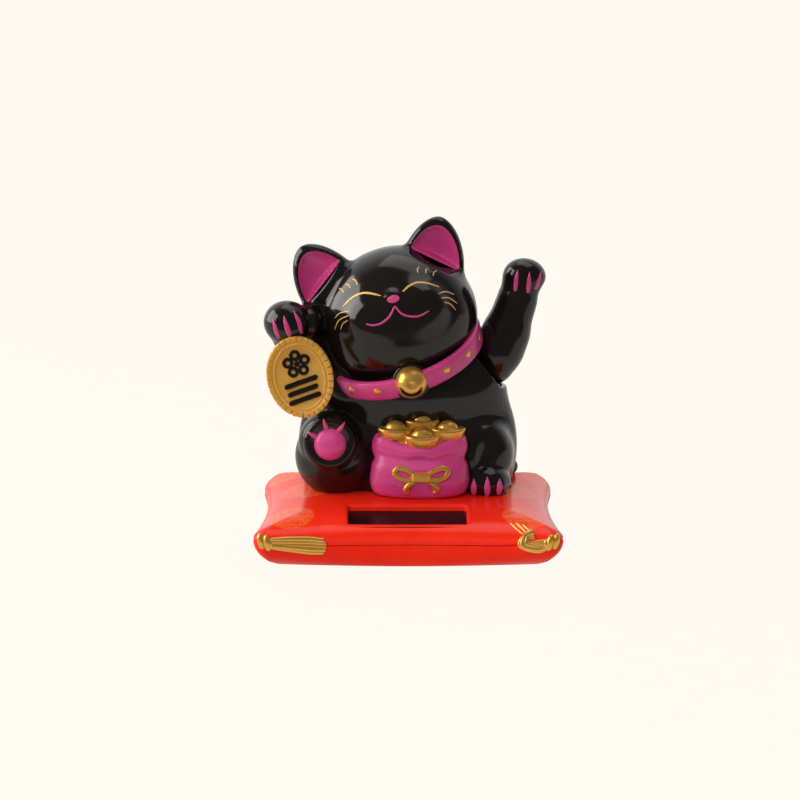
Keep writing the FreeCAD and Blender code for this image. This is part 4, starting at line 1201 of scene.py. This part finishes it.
def folded_tassel(side, start_y):
    parts = tassel_knot(side, start_y)
    for index in range(5):
        t = index / 4
        line = [(side * 47.2, 11.7 - 2.8 * t), (side * 43.8, 11.0 - 3.4 * t),
                (side * (40.9 - 3.0 * t), 10.6 - 1.2 * t), (side * (41.0 - 1.8 * t), 12.0 + 0.8 * t),
                (side * (42.8 - 0.7 * t), 12.2 + 2.0 * t)]
        parts.append(surface_strand(line, STRAND_R * 0.72, start_y, lift=0.1 + 0.45 * (index % 2)))
    for x0, z0, x1, z1 in ((34.9, 15.7, 39.4, 12.8), (37.0, 15.8, 40.4, 13.4), (39.2, 15.4, 41.6, 13.8)):
        line = [(side * x0, z0), (side * x1, z1)]
        parts.append(surface_strand(line, 0.30, start_y, lift=0.0, samples=10))
    return parts


def build_tassels():
    ahead, behind = -BASE_HALF[1] - 8, BASE_HALF[1] + 8
    for name, parts in (("tassel_front_left", straight_tassel(-1, ahead)),
                        ("tassel_front_right", folded_tassel(1, ahead)),
                        ("tassel_rear_left", straight_tassel(-1, behind)),
                        ("tassel_rear_right", straight_tassel(1, behind))):
        piece(join_pieces(name + "_cords", parts), "figure", GOLD, [name])


# ---- pieces kept from the frame ----

KEPT = {
    STEEL: ("base_screws", "board_screws", "cat_screws", "bracket_screws", "arm_screw", "pivot_pin",
            "counterweight"),
    RUBBER: ("rubber_feet",),
    GLASS: ("solar_panel",),
    CELL: ("solar_cell",),
    BOARD: ("circuit_board",),
    EPOXY: ("driver_chip",),
    CAN: ("storage_capacitor",),
    MILKY: ("coil_bobbin", "pivot_bracket", "pendulum_lever"),
    COPPER: ("drive_coil", "coil_leads"),
    SLEEVE: ("solar_leads",),
    NICKEL: ("drive_magnet",),
}
for kept_material, names in KEPT.items():
    for kept_name in names:
        dress(frame["nodes"][kept_name], kept_material)

build_base()
build_cat()
build_arm()
build_face()
build_claws()
build_sole()
build_collar()
build_bell()
build_coin()
build_bag()
build_bow()
build_tassels()


# ---- studio ----

CREAM = (1.0, 0.947, 0.879, 1.0)
VIEW_ELEVATION = 11.2
VIEW_DISTANCE = 0.790
VIEW_TARGET = Vector((-0.00285, 0.0, 0.0525))
LENS = 100.85
FLOOR_SIZE = 60.0
FLOOR_DIM_Y = -0.122            # the figure sees a dim floor in front of this and a bright one behind
FLOOR_BRIGHT_Y = -0.104


def emission(tree, colour, strength):
    return node(tree, "ShaderNodeEmission", Color=colour, Strength=strength)


def build_floor():
    bpy.ops.mesh.primitive_plane_add(size=FLOOR_SIZE, location=(0, 0, 0))
    floor = bpy.context.object
    floor.name = "floor"
    material = bpy.data.materials.new("pale_floor")
    material.use_nodes = True
    tree = material.node_tree
    tree.nodes.clear()
    out = tree.nodes.new("ShaderNodeOutputMaterial")
    glow = emission(tree, CREAM, 0.985)
    matt = node(tree, "ShaderNodeBsdfDiffuse", Color=(0.035, 0.033, 0.031, 1))
    seen = tree.nodes.new("ShaderNodeAddShader")
    tree.links.new(glow.outputs[0], seen.inputs[0])
    tree.links.new(matt.outputs[0], seen.inputs[1])
    coords = tree.nodes.new("ShaderNodeTexCoord")
    place = tree.nodes.new("ShaderNodeSeparateXYZ")
    tree.links.new(coords.outputs["Object"], place.inputs[0])
    ahead = tree.nodes.new("ShaderNodeMapRange")
    ahead.inputs["From Min"].default_value = FLOOR_DIM_Y
    ahead.inputs["From Max"].default_value = FLOOR_BRIGHT_Y
    tree.links.new(place.outputs["Y"], ahead.inputs["Value"])
    near = ramp(tree, ahead.outputs["Result"], [(0.0, (0.13, 0.115, 0.10)), (1.0, (0.68, 0.63, 0.57))])
    lit = emission(tree, CREAM, 1.0)
    tree.links.new(near.outputs["Color"], lit.inputs["Color"])
    path = tree.nodes.new("ShaderNodeLightPath")
    choose = tree.nodes.new("ShaderNodeMixShader")
    tree.links.new(path.outputs["Is Camera Ray"], choose.inputs["Fac"])
    tree.links.new(lit.outputs[0], choose.inputs[1])
    tree.links.new(seen.outputs[0], choose.inputs[2])
    tree.links.new(choose.outputs[0], out.inputs["Surface"])
    floor.data.materials.append(material)


def softbox(name, place, aim, size, radiance, colour=(1.0, 0.97, 0.93)):
    """Rectangular lamp of a given brightness, aimed at a point."""
    lamp = bpy.data.lights.new(name, "AREA")
    lamp.shape = "RECTANGLE"
    lamp.size, lamp.size_y = size
    lamp.energy = radiance * math.pi * size[0] * size[1]
    lamp.color = colour
    obj = bpy.data.objects.new(name, lamp)
    bpy.context.scene.collection.objects.link(obj)
    obj.location = place
    obj.rotation_euler = (Vector(aim) - Vector(place)).to_track_quat("-Z", "Y").to_euler()
    return obj


def build_world():
    world = bpy.data.worlds.new("studio")
    bpy.context.scene.world = world
    world.use_nodes = True
    tree = world.node_tree
    tree.nodes.clear()
    out = tree.nodes.new("ShaderNodeOutputWorld")
    coords = tree.nodes.new("ShaderNodeTexCoord")
    split = tree.nodes.new("ShaderNodeSeparateXYZ")
    tree.links.new(coords.outputs["Generated"], split.inputs[0])
    behind = ramp(tree, split.outputs["Y"], [(0.05, grey(0.10)), (0.62, grey(0.95))])
    room = node(tree, "ShaderNodeBackground", Strength=1.0)
    tree.links.new(behind.outputs["Color"], room.inputs["Color"])
    backdrop = node(tree, "ShaderNodeBackground", Color=CREAM, Strength=1.0)
    path = tree.nodes.new("ShaderNodeLightPath")
    choose = tree.nodes.new("ShaderNodeMixShader")
    tree.links.new(path.outputs["Is Camera Ray"], choose.inputs["Fac"])
    tree.links.new(room.outputs[0], choose.inputs[1])
    tree.links.new(backdrop.outputs[0], choose.inputs[2])
    tree.links.new(choose.outputs[0], out.inputs["Surface"])


def build_camera():
    camera = bpy.data.cameras.new("camera")
    camera.sensor_width = 36.0
    camera.lens = LENS
    camera.clip_start = 0.01
    camera.clip_end = 100.0
    obj = bpy.data.objects.new("camera", camera)
    bpy.context.scene.collection.objects.link(obj)
    tilt = math.radians(VIEW_ELEVATION)
    obj.location = VIEW_TARGET + VIEW_DISTANCE * Vector((0, -math.cos(tilt), math.sin(tilt)))
    obj.rotation_euler = (math.pi / 2 - tilt, 0, 0)
    bpy.context.scene.camera = obj


build_floor()
build_world()
softbox("window", (-0.78, 0.0, 0.40), (0, 0, 0.07), (0.80, 0.66), 4.2)
softbox("overhead", (0.10, 0.15, 1.05), (0, 0, 0.05), (0.9, 0.5), 1.2)
fill = softbox("front_fill", (-0.25, -1.0, 0.65), (0, 0, 0.05), (1.2, 0.9), 2.6)
fill.visible_glossy = False
build_camera()
bpy.context.scene.view_settings.view_transform = "Standard"
